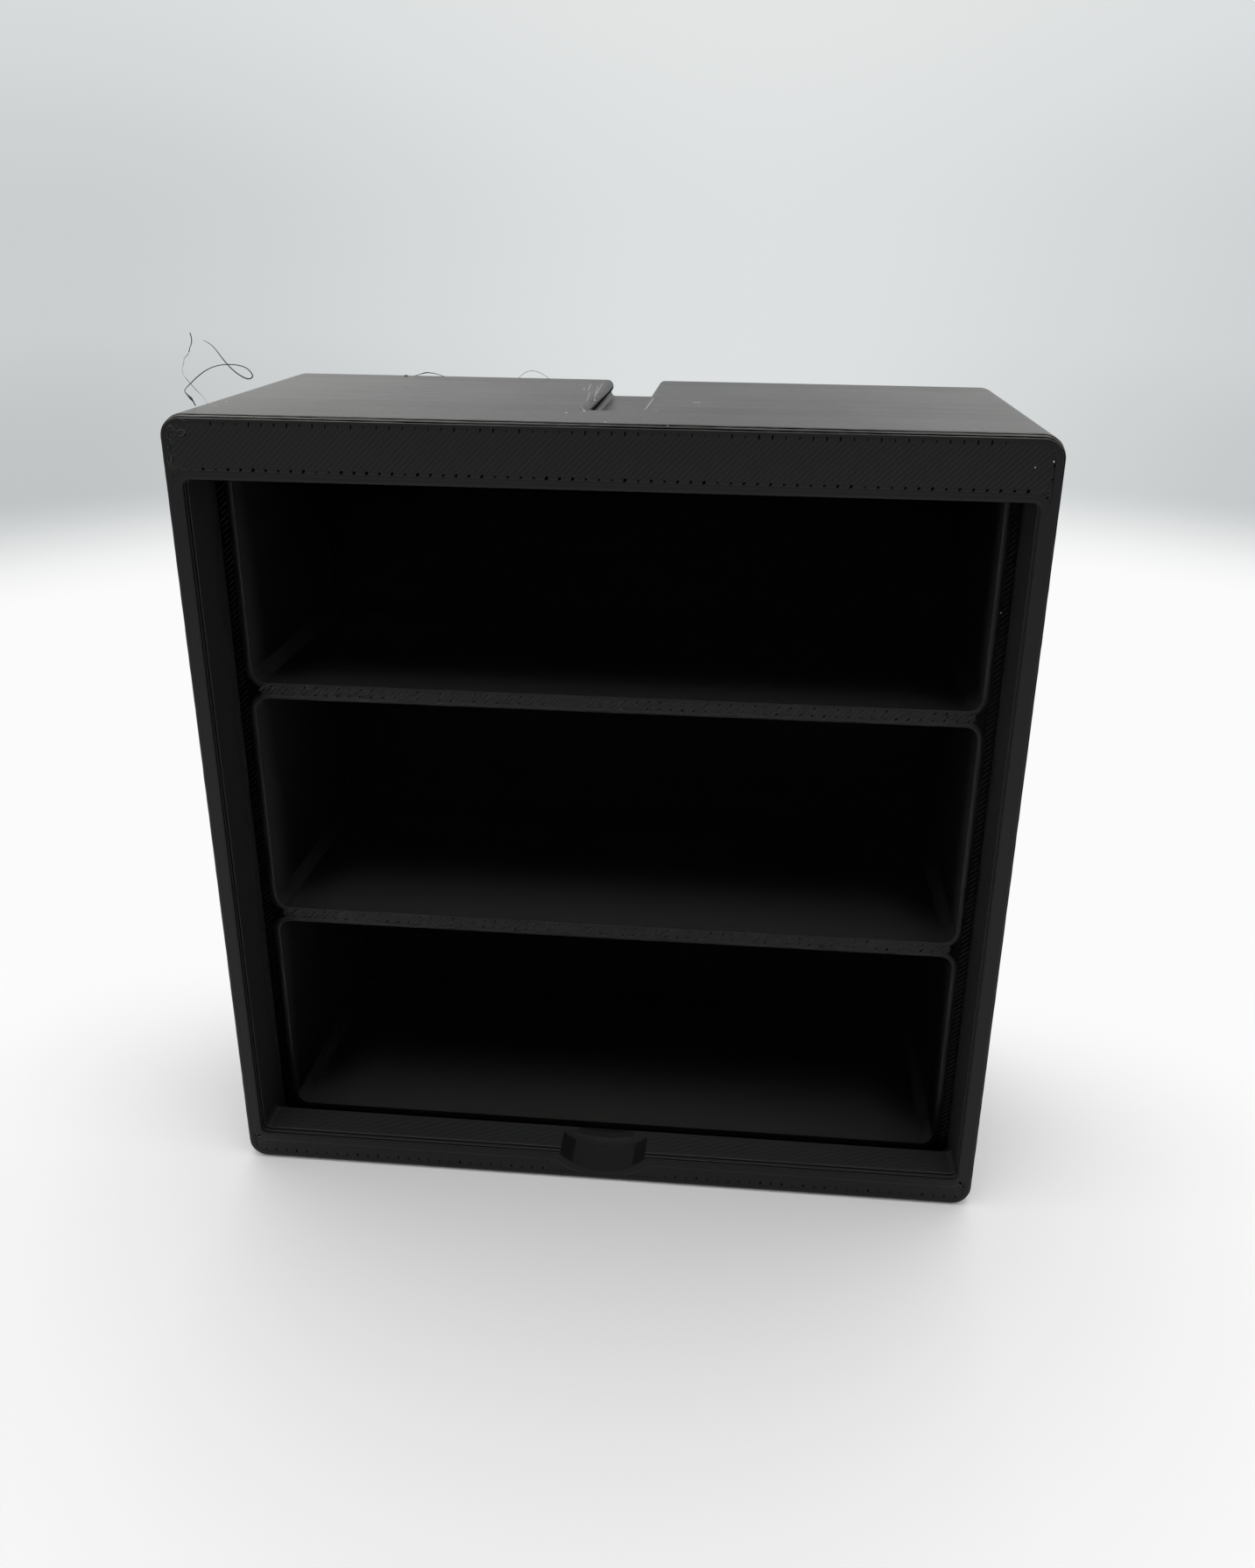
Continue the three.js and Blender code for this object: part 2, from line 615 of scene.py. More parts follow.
class Wiring:
    """Adds nodes to a tree and joins them."""

    def __init__(self, tree: bpy.types.NodeTree) -> None:
        """Keeps the tree that is worked on."""
        self.tree = tree

    def add(self, kind: str, inputs: dict[str, Value] | None = None, **settings: object) -> bpy.types.Node:
        """Adds a node.

        Args:
            kind: Type of the node.
            inputs: A value for each input that is set, by its identifier.
            settings: Properties of the node.

        Returns:
            The node.
        """
        node = self.tree.nodes.new(kind)
        for key, setting in settings.items():
            setattr(node, key, setting)
        sockets = {socket.identifier: socket for socket in node.inputs}
        for key, value in (inputs or {}).items():
            self.feed(sockets[key], value)
        return node

    def take(
        self, kind: str, inputs: dict[str, Value] | None = None, output: int | str = 0, **settings: object
    ) -> Signal:
        """Adds a node and takes one of its outputs, by its number or its name."""
        return Signal(self, self.add(kind, inputs, **settings).outputs[output])

    def feed(self, socket: bpy.types.NodeSocket, value: Value) -> None:
        """Joins a socket to a signal, or sets its value.

        Args:
            socket: The socket.
            value: A signal, or a plain value.
        """
        if isinstance(value, Signal):
            self.tree.links.new(value.socket, socket)
        else:
            socket.default_value = value

    def feed_all(self, node: bpy.types.Node, *values: Value, **named: Value) -> None:
        """Feeds the inputs of a node, in order or by name.

        Args:
            node: The node.
            values: Values of its first inputs.
            named: Values by the names of the inputs, with underscores for blanks.
        """
        for socket, value in zip(node.inputs, values):
            self.feed(socket, value)
        for key, value in named.items():
            self.feed(node.inputs[key.replace("_", " ")], value)

    def math(self, operation: str, *values: Value) -> Signal:
        """Does a sum on up to three values.

        Args:
            operation: Name of the sum.
            values: The values.

        Returns:
            The result.
        """
        node = self.add("ShaderNodeMath", operation=operation)
        self.feed_all(node, *values)
        return Signal(self, node.outputs[0])

    def vector(self, x: Value, y: Value, z: Value) -> Signal:
        """A vector from its three parts."""
        return self.take("ShaderNodeCombineXYZ", {"X": x, "Y": y, "Z": z})

    def split(self, vector: Value) -> list[Signal]:
        """The three parts of a vector."""
        node = self.add("ShaderNodeSeparateXYZ", {"Vector": vector})
        return [Signal(self, socket) for socket in node.outputs]

    def place(self) -> Signal:
        """Object coordinates of the shaded point."""
        return self.take("ShaderNodeTexCoord", output="Object")

    def read(self, mark: Mark) -> Signal:
        """What is written on the shaded face."""
        return self.take("ShaderNodeAttribute", output="Fac", attribute_name=mark.value)

    def mix(self, share: Value, first: Value, second: Value) -> Signal:
        """A number between two others."""
        return self.take("ShaderNodeMix", {"Factor_Float": share, "A_Float": first, "B_Float": second})

    def mix_colour(self, share: Value, first: Value, second: Value) -> Signal:
        """A colour between two others."""
        inputs = {"Factor_Float": share, "A_Color": first, "B_Color": second}
        return self.take("ShaderNodeMix", inputs, 2, data_type="RGBA")

    def ramp(self, value: Value, start: Value, end: Value, low: float = 0.0, high: float = 1.0) -> Signal:
        """Smooth step of a number, from the low value at the start to the high one at the end."""
        inputs = {"Value": value, "From Min": start, "From Max": end, "To Min": low, "To Max": high}
        return self.take("ShaderNodeMapRange", inputs, interpolation_type="SMOOTHSTEP")

    def seen(self) -> Signal:
        """Tells what the camera sees from what only lights the case.

        Returns:
            1 for what is seen, straight or by a mirror or a clear sheet, and else 0.
        """
        path = self.add("ShaderNodeLightPath")
        kinds = ("Is Camera Ray", "Is Glossy Ray", "Is Transmission Ray")
        camera, glossy, through = (Signal(self, path.outputs[kind]) for kind in kinds)
        return camera.math("MAXIMUM", glossy).math("MAXIMUM", through)

    def blend(self, share: Value, first: Value, second: Value, leave: bpy.types.Node) -> None:
        """Ends a tree with a mixture of two shaders.

        Args:
            share: Share of the second shader.
            first: The first shader.
            second: The second shader.
            leave: The node that ends the tree.
        """
        node = self.add("ShaderNodeMixShader")
        self.feed_all(node, share, first, second)
        self.feed(leave.inputs["Surface"], Signal(self, node.outputs[0]))


REGION_INPUTS = ("Left", "Right", "Bottom", "Top", "Line Width")
POINTS_PER_ROW = 6
SHORT_TURN = 0.15
LONG_TURN = 0.3
TURN_LEAD = 4
LINK_SHARE = 0.2
PIT_SIZES = (0.5, 1.12)
TICK_SIZES = (0.6, 1.15)


class GeometryRecipe:
    """A Geometry Nodes tree with named inputs, run on one object at a time."""

    def __init__(self, name: str, floats: Sequence[str], integers: Sequence[str] = ()) -> None:
        """Makes the tree.

        Args:
            name: Name of the tree.
            floats: Names of the inputs that are numbers, beside the depth.
            integers: Names of the inputs that are whole numbers.
        """
        kinds = dict.fromkeys((*floats, "Depth"), "NodeSocketFloat")
        kinds.update(dict.fromkeys(integers, "NodeSocketInt"), Material="NodeSocketMaterial")
        self.tree = bpy.data.node_groups.new(name, "GeometryNodeTree")
        face = self.tree.interface
        for side in ("INPUT", "OUTPUT"):
            face.new_socket("Geometry", in_out=side, socket_type="NodeSocketGeometry")
        self.names = {}
        for key, kind in kinds.items():
            self.names[key] = face.new_socket(key, in_out="INPUT", socket_type=kind).identifier
        self.wiring = Wiring(self.tree)
        entry = self.wiring.add("NodeGroupInput")
        self.given = {socket.name: Signal(self.wiring, socket) for socket in entry.outputs}

    def points(self, count: Value, across: Value, up: Value) -> Signal:
        """Draws points flat, each at the place that is worked out from its number.

        Args:
            count: Number of points.
            across: Place left to right.
            up: Place upwards.

        Returns:
            The points.
        """
        line = self.wiring.take("GeometryNodeMeshLine", {"Count": count})
        inputs = {"Geometry": line, "Position": self.wiring.vector(across, up, 0)}
        return self.wiring.take("GeometryNodeSetPosition", inputs)

    def chance(self, low: float, high: float) -> Signal:
        """A random number for each point."""
        inputs = {"Min_001": low, "Max_001": high, "Seed": self.given["Seed"]}
        return self.wiring.take("FunctionNodeRandomValue", inputs, 1, data_type="FLOAT")

    def strew(self, points: Value, shape: Value, tilt: Value, size: Signal, chosen: Value = True) -> Signal:
        """Puts a shape on each chosen point.

        Args:
            points: The points.
            shape: The shape.
            tilt: How far it is turned.
            size: Its size along each axis.
            chosen: Share of 1 for each point that gets one.

        Returns:
            The shapes.
        """
        turned = self.wiring.vector(0, 0, tilt)
        inputs = {"Points": points, "Instance": shape, "Selection": chosen, "Rotation": turned, "Scale": size}
        return self.wiring.take("GeometryNodeInstanceOnPoints", inputs)

    def smooth(self, geometry: Signal) -> Signal:
        """The same with smooth shading."""
        return self.wiring.take("GeometryNodeSetShadeSmooth", {"Geometry": geometry})

    def stand_and_end(self, geometry: Signal) -> None:
        """Turns what was drawn flat upright, moves it to its depth and ends the tree.

        Args:
            geometry: What was drawn.
        """
        wiring = self.wiring
        place = wiring.vector(0, self.given["Depth"], 0)
        inputs = {"Geometry": geometry, "Translation": place, "Rotation": (math.pi / 2, 0, 0)}
        stood = wiring.take("GeometryNodeTransform", inputs)
        real = wiring.take("GeometryNodeRealizeInstances", {"Geometry": stood})
        inputs = {"Geometry": real, "Material": self.given["Material"]}
        dressed = wiring.take("GeometryNodeSetMaterial", inputs)
        wiring.feed_all(wiring.add("NodeGroupOutput"), dressed)

    def run(self, source: bpy.types.Object, **values: float | bpy.types.Material) -> bpy.types.Mesh:
        """Runs the tree on an object.

        Args:
            source: Object that the tree starts from, which is used up.
            values: The inputs, with underscores for the blanks in their names.

        Returns:
            The plain mesh that comes out.
        """
        modifier = source.modifiers.new("recipe", "NODES")
        modifier.node_group = self.tree
        for key, value in values.items():
            modifier[self.names[label(key)]] = value
        mesh = evaluated_mesh(source)
        source.modifiers.remove(modifier)
        bpy.data.objects.remove(source)
        return mesh


class LoopRecipe(GeometryRecipe):
    """Flat round beads, swept along every edge of a flat drawing."""

    def __init__(self, name: str = "edge_lines", floats: Sequence[str] = ()) -> None:
        """Makes the tree, with the bead's own inputs beside the ones given."""
        super().__init__(name, (*floats, "Bead Width", "Bead Height"))
        self.sweep(self.drawing())

    def drawing(self) -> Signal:
        """The edges that the beads follow."""
        return self.given["Geometry"]

    def sweep(self, drawing: Signal) -> None:
        """Sweeps the bead and ends the tree.

        Args:
            drawing: The edges that it follows.
        """
        wiring = self.wiring
        curve = wiring.take("GeometryNodeMeshToCurve", {"Mesh": drawing})
        level = wiring.take("GeometryNodeSetCurveNormal", {"Curve": curve}, mode="Z_UP")
        ring = wiring.take("GeometryNodeCurvePrimitiveCircle", {"Resolution": 12, "Radius": 1.0})
        flat = wiring.vector(self.given["Bead Width"] * 0.5, self.given["Bead Height"], 1)
        profile = wiring.take("GeometryNodeTransform", {"Geometry": ring, "Scale": flat})
        inputs = {"Curve": level, "Profile Curve": profile, "Fill Caps": True}
        self.stand_and_end(self.smooth(wiring.take("GeometryNodeCurveToMesh", inputs)))


class RowSums:
    """Where the rows of a rectangle start and end, worked out by nodes."""

    def __init__(self, wiring: Wiring, given: dict[str, Signal]) -> None:
        """Works out the spacing, the first row and the number of rows.

        Args:
            wiring: The nodes that do the sums.
            given: Inputs of the tree, by name.
        """
        self.wiring = wiring
        self.given = given
        self.spacing = given["Line Width"] * math.sqrt(2)
        self.lowest = given["Bottom"] - given["Right"]
        span = (given["Top"] - given["Bottom"]) + (given["Right"] - given["Left"])
        self.count = (span / self.spacing).math("FLOOR")

    def lead(self, row: Signal) -> Signal:
        """Height of a row's line where it crosses the middle of the case."""
        return (row + 0.5).scaled(self.spacing, self.lowest)

    def end(self, lead: Signal, is_start: Value) -> Signal:
        """Works out the place, left to right, of an end of a row.

        Args:
            lead: Height of the row's line in the middle of the case.
            is_start: 1 for the lower end, and else 0.

        Returns:
            The place.
        """
        start = self.given["Left"].math("MAXIMUM", self.given["Bottom"] - lead)
        stop = self.given["Right"].math("MINIMUM", self.given["Top"] - lead)
        return self.wiring.mix(is_start, stop, start)


class RowRecipe(LoopRecipe):
    """One line that runs to and fro at forty-five degrees until it has filled a rectangle.

    Each row has six points. The outer two lie on the way to the neighbouring rows, the next two on the row
    itself, so that the turn is cut short, and the inner two a little further in, where the turn has ended.
    """

    def __init__(self) -> None:
        """Makes the tree."""
        super().__init__("printed_rows", (*REGION_INPUTS, "Turn"))

    def drawing(self) -> Signal:
        """The line, as edges.

        Returns:
            The edges.
        """
        wiring = self.wiring
        sums = RowSums(wiring, self.given)
        index = wiring.take("GeometryNodeInputIndex")
        last = POINTS_PER_ROW - 0.5
        middle = (POINTS_PER_ROW - 1) / 2
        row = (index / POINTS_PER_ROW).math("FLOOR")
        step = last - abs(index % (2 * POINTS_PER_ROW) - last)
        is_start = step.math("LESS_THAN", middle)
        side = is_start.scaled(2, -1)
        apart = abs(step - middle)
        link, turn, rest = (apart.math("COMPARE", distance, 0.1) for distance in (2.5, 1.5, 0.5))
        odd = (row % 2).scaled(2, -1)
        lead = sums.lead(row)
        next_lead = sums.lead(side.scaled(odd, row))
        across = sums.end(lead, is_start)
        next_across = sums.end(next_lead, is_start)
        span = sums.end(lead, 0) - sums.end(lead, 1)
        near = self.given["Turn"].math("MINIMUM", span * SHORT_TURN)
        far = (self.given["Turn"] * TURN_LEAD).math("MINIMUM", span * LONG_TURN)
        inward = rest.scaled(far, turn * near) * side
        share = link * LINK_SHARE
        x = wiring.mix(share, across, next_across) + inward
        y = wiring.mix(share, across + lead, next_across + next_lead) + inward
        return self.points(sums.count * POINTS_PER_ROW, x, y)


class PitRecipe(GeometryRecipe):
    """Pits between the turns along one side of a rectangle of rows."""

    def __init__(self) -> None:
        """Makes the tree."""
        floats = ("Pit Width", "Pit Length", "Pit Depth", "Tilt", "Left Margin", "Right Margin")
        super().__init__("row_pits", (*REGION_INPUTS, *floats), ("High Ends", "Seed"))
        wiring = self.wiring
        given = self.given
        sums = RowSums(wiring, given)
        row = wiring.take("GeometryNodeInputIndex").scaled(2, given["High Ends"])
        is_start = 1 - given["High Ends"]
        first = sums.lead(row)
        second = sums.lead(row + 1)
        across = (sums.end(first, is_start) + sums.end(second, is_start)) * 0.5
        up = across + (first + second) * 0.5
        inside = across.math("GREATER_THAN", given["Left"] + given["Left Margin"])
        inside = inside * across.math("LESS_THAN", given["Right"] - given["Right Margin"])
        points = self.points((sums.count * 0.5).math("FLOOR") - 1, across, up)
        pin = wiring.take("GeometryNodeMeshCylinder", {"Vertices": 8, "Radius": 0.5, "Depth": 2.0})
        chance = self.chance(*PIT_SIZES)
        size = wiring.vector(given["Pit Width"] * chance, given["Pit Length"] * chance, given["Pit Depth"])
        self.stand_and_end(self.strew(points, pin, given["Tilt"], size, inside))


class TickRecipe(GeometryRecipe):
    """Short thin beads at forty-five degrees, one above the other across a narrow strip."""

    def __init__(self) -> None:
        """Makes the tree."""
        super().__init__("ledge_ticks", (*REGION_INPUTS, "Tick Width", "Tick Height"), ("Seed",))
        wiring = self.wiring
        given = self.given
        spacing = given["Line Width"] * math.sqrt(2)
        count = ((given["Top"] - given["Bottom"]) / spacing).math("FLOOR")
        up = (wiring.take("GeometryNodeInputIndex") + 0.5).scaled(spacing, given["Bottom"])
        points = self.points(count, (given["Left"] + given["Right"]) * 0.5, up)
        ball = wiring.take("GeometryNodeMeshUVSphere", {"Segments": 10, "Rings": 6, "Radius": 1.0})
        long = (given["Right"] - given["Left"]) * math.sqrt(0.5) * self.chance(*TICK_SIZES)
        size = wiring.vector(long, given["Tick Width"] * 0.5, given["Tick Height"])
        self.stand_and_end(self.smooth(self.strew(points, ball, math.pi / 4, size)))


class ShaderGroup:
    """A shader node group with named inputs and outputs, placed in each material that needs it."""

    def __init__(self, name: str, inputs: dict[str, float], outputs: Sequence[str]) -> None:
        """Makes an empty group.

        Args:
            name: Name of the group.
            inputs: Usual value of each named input.
            outputs: Names of the values that it puts out.
        """
        self.tree = bpy.data.node_groups.new(name, "ShaderNodeTree")
        face = self.tree.interface
        for key, usual in inputs.items():
            face.new_socket(key, in_out="INPUT", socket_type="NodeSocketFloat").default_value = usual
        for key in outputs:
            face.new_socket(key, in_out="OUTPUT", socket_type="NodeSocketFloat")
        self.wiring = Wiring(self.tree)
        entry = self.wiring.add("NodeGroupInput")
        self.given = {socket.name: Signal(self.wiring, socket) for socket in entry.outputs}
        self.leave = self.wiring.add("NodeGroupOutput")

    def noise(self, scale: Value, detail: float = 2.0) -> Signal:
        """Soft random pattern between 0 and 1."""
        inputs = {"Vector": self.wiring.place(), "Scale": scale, "Detail": detail}
        return self.wiring.take("ShaderNodeTexNoise", inputs)

    def use(self, wiring: Wiring, **values: float) -> dict[str, Signal]:
        """Places the group in a material.

        Args:
            wiring: The material's nodes.
            values: Values of the named inputs.

        Returns:
            Its outputs by name.
        """
        node = wiring.add("ShaderNodeGroup", node_tree=self.tree)
        wiring.feed_all(node, **{label(key): value for key, value in values.items()})
        return {socket.name: Signal(wiring, socket) for socket in node.outputs}


class Ridges(ShaderGroup):
    """Rounded ridges side by side, as printed lines leave them, with a random shade for each."""

    def __init__(self, name: str, pitch: float, ripple: float, roundness: float) -> None:
        """Makes the group.

        Args:
            name: Its name.
            pitch: Usual distance from ridge to ridge.
            ripple: Scale of the noise that makes the ridges wander.
            roundness: Power by which a ridge falls off towards its sides.
        """
        super().__init__(name, {"Pitch": pitch, "Wander": 0.1}, ("Ridge", "Shade"))
        drift = self.noise(ripple) - 0.5
        count = drift.scaled(self.given["Wander"], self.along() / self.given["Pitch"])
        swell = (abs(count.math("FRACT") - 0.5) * 2) ** roundness
        inputs = {"W": count.math("FLOOR")}
        shade = self.wiring.take("ShaderNodeTexWhiteNoise", inputs, noise_dimensions="1D")
        self.wiring.feed_all(self.leave, 1 - swell, shade)

    def along(self) -> Signal:
        """Place across the layers, which lie one behind the other on every wall."""
        return self.wiring.split(self.wiring.place())[1]


class FlatRidges(Ridges):
    """The same for rows at forty-five degrees, on the faces that look forward or back."""

    def along(self) -> Signal:
        """Place across the rows."""
        across, _, up = self.wiring.split(self.wiring.place())
        return (up - across) * math.sqrt(0.5)


SPECK_CHOICE = 0.88


class Wear(ShaderGroup):
    """Cloudy sheen, fine grain and a few pale specks of dust."""

    def __init__(self) -> None:
        """Makes the group."""
        inputs = {"Cloud Scale": 60.0, "Grain Scale": 9000.0, "Speck Scale": 260.0, "Speck Size": 0.025}
        super().__init__("wear", inputs, ("Cloud", "Grain", "Specks"))
        wiring = self.wiring
        inputs = {"Vector": wiring.place(), "Scale": self.given["Speck Scale"]}
        cells = wiring.add("ShaderNodeTexVoronoi", inputs)
        distance, colour = (Signal(wiring, cells.outputs[key]) for key in ("Distance", "Color"))
        close = distance.math("LESS_THAN", self.given["Speck Size"])
        chosen = wiring.take("ShaderNodeSeparateColor", {"Color": colour}).math("GREATER_THAN", SPECK_CHOICE)
        cloud = self.noise(self.given["Cloud Scale"], 4.0)
        wiring.feed_all(self.leave, cloud, self.noise(self.given["Grain Scale"]), close * chosen)


@dataclass(frozen=True)
class Workshop:
    """Shared shader groups and Geometry Nodes trees, each built once."""

    layers: Ridges
    flat_rows: FlatRidges
    wear: Wear
    loops: LoopRecipe
    rows: RowRecipe
    pits: PitRecipe
    ticks: TickRecipe


def bare_material(name: str) -> tuple[bpy.types.Material, Wiring, bpy.types.Node]:
    """Makes a material with nodes.

    Args:
        name: Name of the material.

    Returns:
        The material, its wiring and its Principled BSDF.
    """
    material = bpy.data.materials.new(name)
    material.use_nodes = True
    return material, Wiring(material.node_tree), material.node_tree.nodes["Principled BSDF"]


@dataclass(frozen=True)
class BlackPlastic:
    """Black printed plastic with a soft sheen."""

    colour: Colour = (0.0016, 0.0016, 0.0016, 1)
    cloud_colour: Colour = (0.0026, 0.0025, 0.0025, 1)
    dust_colour: Colour = (0.12, 0.117, 0.11, 1)
    gloss_colour: Colour = (1, 1, 1, 1)
    roughness: float = 0.34
    line_sheen: float = 0.06
    cloud_sheen: float = 0.16
    specular: float = 0.225
    ridge_height: float = 0.04
    grain: float = 0.25
    speck_size: float = 0.025

    def material(self, name: str, shop: Workshop) -> bpy.types.Material:
        """Makes the material.

        Args:
            name: Name of the material.
            shop: Shared shader groups.

        Returns:
            The material.
        """
        material, wiring, shader = bare_material(name)
        layers = shop.layers.use(wiring)
        rows = shop.flat_rows.use(wiring)
        wear = shop.wear.use(wiring, speck_size=self.speck_size)
        wall = wiring.read(Mark.WALL)
        height = wiring.mix(wall, rows["Ridge"], layers["Ridge"]) * wiring.read(Mark.RELIEF)
        height = wear["Grain"].scaled(self.grain, height)
        bump = wiring.take("ShaderNodeBump", {"Height": height, "Distance": self.ridge_height * MM})
        shade = wiring.mix(wall, rows["Shade"], layers["Shade"])
        rough = (shade - 0.5).scaled(self.line_sheen, self.roughness)
        rough = (wear["Cloud"] - 0.5).scaled(self.cloud_sheen, rough)
        clouded = wiring.mix_colour(wear["Cloud"], self.colour, self.cloud_colour)
        dusty = wiring.mix_colour(wear["Specks"], self.tint(wiring, clouded), self.dust_colour)
        wiring.feed_all(shader, Base_Color=dusty, Roughness=rough, Normal=bump)
        wiring.feed_all(shader, Specular_IOR_Level=self.specular, Specular_Tint=self.gloss_colour)
        return material

    def tint(self, wiring: Wiring, colour: Signal) -> Signal:
        """The colour as it is, which other finishes change from place to place."""
        return colour


@dataclass(frozen=True)
class BayPlastic(BlackPlastic):
    """Dull black plastic with painted light near the mouth of a bay, and a painted sheen further in along its
    lower corners.
    """

    # Colour of the painted light and painted sheen, the depths where they start and fade, and how they weaken
    # near the side walls.
    painted_light_colour: Colour = (0.035, 0.034, 0.033, 1)
    lit_from: float = 0
    lit_to: float = 0
    gleam_to: float = 0
    side_from: float = 41
    side_to: float = 33
    side_share: float = 0.76
    fall: float = 1.3
    lit_power: float = 4

    def tint(self, wiring: Wiring, colour: Signal) -> Signal:
        """Mixes in the painted light colour by the depth, and by what is written on the faces.

        Args:
            wiring: The material's nodes.
            colour: The colour as it is.

        Returns:
            The mixture.
        """
        across, along, _ = wiring.split(wiring.place())
        middle = wiring.ramp(abs(across), self.side_from * MM, self.side_to * MM)
        lit = wiring.read(Mark.LIT) * wiring.mix(middle, self.side_share, 1.0)
        near = wiring.ramp(along, self.lit_to * MM, self.lit_from * MM) ** (self.fall / lit**self.lit_power)
        far = wiring.ramp(along, self.gleam_to * MM, self.lit_from * MM)
        share = (near * lit).math("MAXIMUM", far * wiring.read(Mark.GLEAM))
        return wiring.mix_colour(share, colour, self.painted_light_colour)


@dataclass(frozen=True)
class RoofPlastic(BlackPlastic):
    """Glossier plastic with a painted sheen, paler towards the left and weakest right of the middle."""

    # Colour of the painted sheen, where it is weakest, and how fast it grows from there.
    painted_sheen_colour: Colour = (0.15, 0.146, 0.137, 1)
    weakest_sheen_place: float = 9
    reach: float = 54
    fall: float = 1.5

    def tint(self, wiring: Wiring, colour: Signal) -> Signal:
        """Mixes in the painted sheen colour by the distance from where the painted sheen is weakest.

        Args:
            wiring: The material's nodes.
            colour: The colour as it is.

        Returns:
            The mixture.
        """
        across = wiring.split(wiring.place())[0]
        share = (abs(across - self.weakest_sheen_place * MM) / (self.reach * MM)) ** self.fall
        return wiring.mix_colour(share.math("MINIMUM", 1.0), colour, self.painted_sheen_colour)


@dataclass(frozen=True)
class Shine:
    """How strong the painted light on a bay's side wall is at its mouth, and the painted sheen further in, at
    its foot and at its top.
    """

    lit: Point
    gleam: Point


# Painted light and painted sheen on each bay's walls, lower corners, floor and roof, different left and right
# as the light falls.
LEFT_SHINES = (
    Shine((0.45, 0.85), (0.0, 0.3)),
    Shine((0.93, 0.93), (0.03, 0.36)),
    Shine((0.85, 0.85), (0.03, 0.33)),
)
RIGHT_SHINES = (
    Shine((0.48, 0.78), (0.03, 0.03)),
    Shine((0.86, 0.82), (0.08, 0.14)),
    Shine((0.78, 0.74), (0.05, 0.05)),
)
LEFT_CORNERS = (0.3, 0.5, 0.55)
RIGHT_CORNERS = (0.33, 0.42, 0.15)
CORNER_LIT = 0.9
FLOOR_LIT = (1.0, 1.0, 0.76)
ROOF_LIT = 0.5


@dataclass(frozen=True)
class ClearSheet:
    """Clear sheet with almost no glare, a little cloudy with handling, seen mostly from the side."""

    colour: Colour = (0.004, 0.0045, 0.005, 1)
    haze_colour: Colour = (0.02, 0.022, 0.023, 1)
    roughness: Point = (0.05, 0.12)
    specular: float = 0.3
    least_alpha: float = 0.012
    slant_alpha: float = 0.22
    slant_power: float = 4

    def material(self, name: str, shop: Workshop) -> bpy.types.Material:
        """Makes the material.

        Args:
            name: Name of the material.
            shop: Shared shader groups.

        Returns:
            The material.
        """
        material, wiring, shader = bare_material(name)
        cloud = shop.wear.use(wiring, cloud_scale=40.0, speck_size=0.02)["Cloud"]
        steep = wiring.take("ShaderNodeLayerWeight", {"Blend": 0.5}, "Facing") ** self.slant_power
        wiring.feed_all(shader, Base_Color=wiring.mix_colour(cloud, self.colour, self.haze_colour))
        wiring.feed_all(shader, Alpha=wiring.mix(steep, self.least_alpha, self.slant_alpha))
        wiring.feed_all(shader, Roughness=wiring.mix(cloud, *self.roughness))
        wiring.feed_all(shader, Specular_IOR_Level=self.specular)
        return material


@dataclass(frozen=True)
class LooseThread:
    """Thin thread of plastic, dark with slightly paler stretches."""

    dark: Colour
    pale: Colour
    roughness: Point = (0.25, 0.5)
    pale_from: float = 0.56
    pale_steepness: float = 6

    def material(self, name: str, shop: Workshop) -> bpy.types.Material:
        """Makes the material.

        Args:
            name: Name of the material.
            shop: Shared shader groups.

        Returns:
            The material.
        """
        material, wiring, shader = bare_material(name)
        cloud = shop.wear.use(wiring, cloud_scale=420.0)["Cloud"]
        share = (cloud - self.pale_from).math("SMOOTH_MAX", 0, 0.02) * self.pale_steepness
        colour = wiring.mix_colour(share.math("MINIMUM", 1), self.dark, self.pale)
        wiring.feed_all(shader, Base_Color=colour, Roughness=wiring.mix(cloud, *self.roughness))
        return material


THREAD_FINISHES = {
    "loose_thread": LooseThread((0.02, 0.019, 0.018, 1), (0.08, 0.075, 0.07, 1)),
    "pale_fleck": LooseThread((0.6, 0.59, 0.57, 1), (0.85, 0.84, 0.82, 1)),
    "grey_scratch": LooseThread((0.07, 0.069, 0.062, 1), (0.2, 0.195, 0.18, 1)),
}


def ride_case(piece: bpy.types.Object) -> None:
    """Lets a piece move with the case."""
    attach(piece, "case")


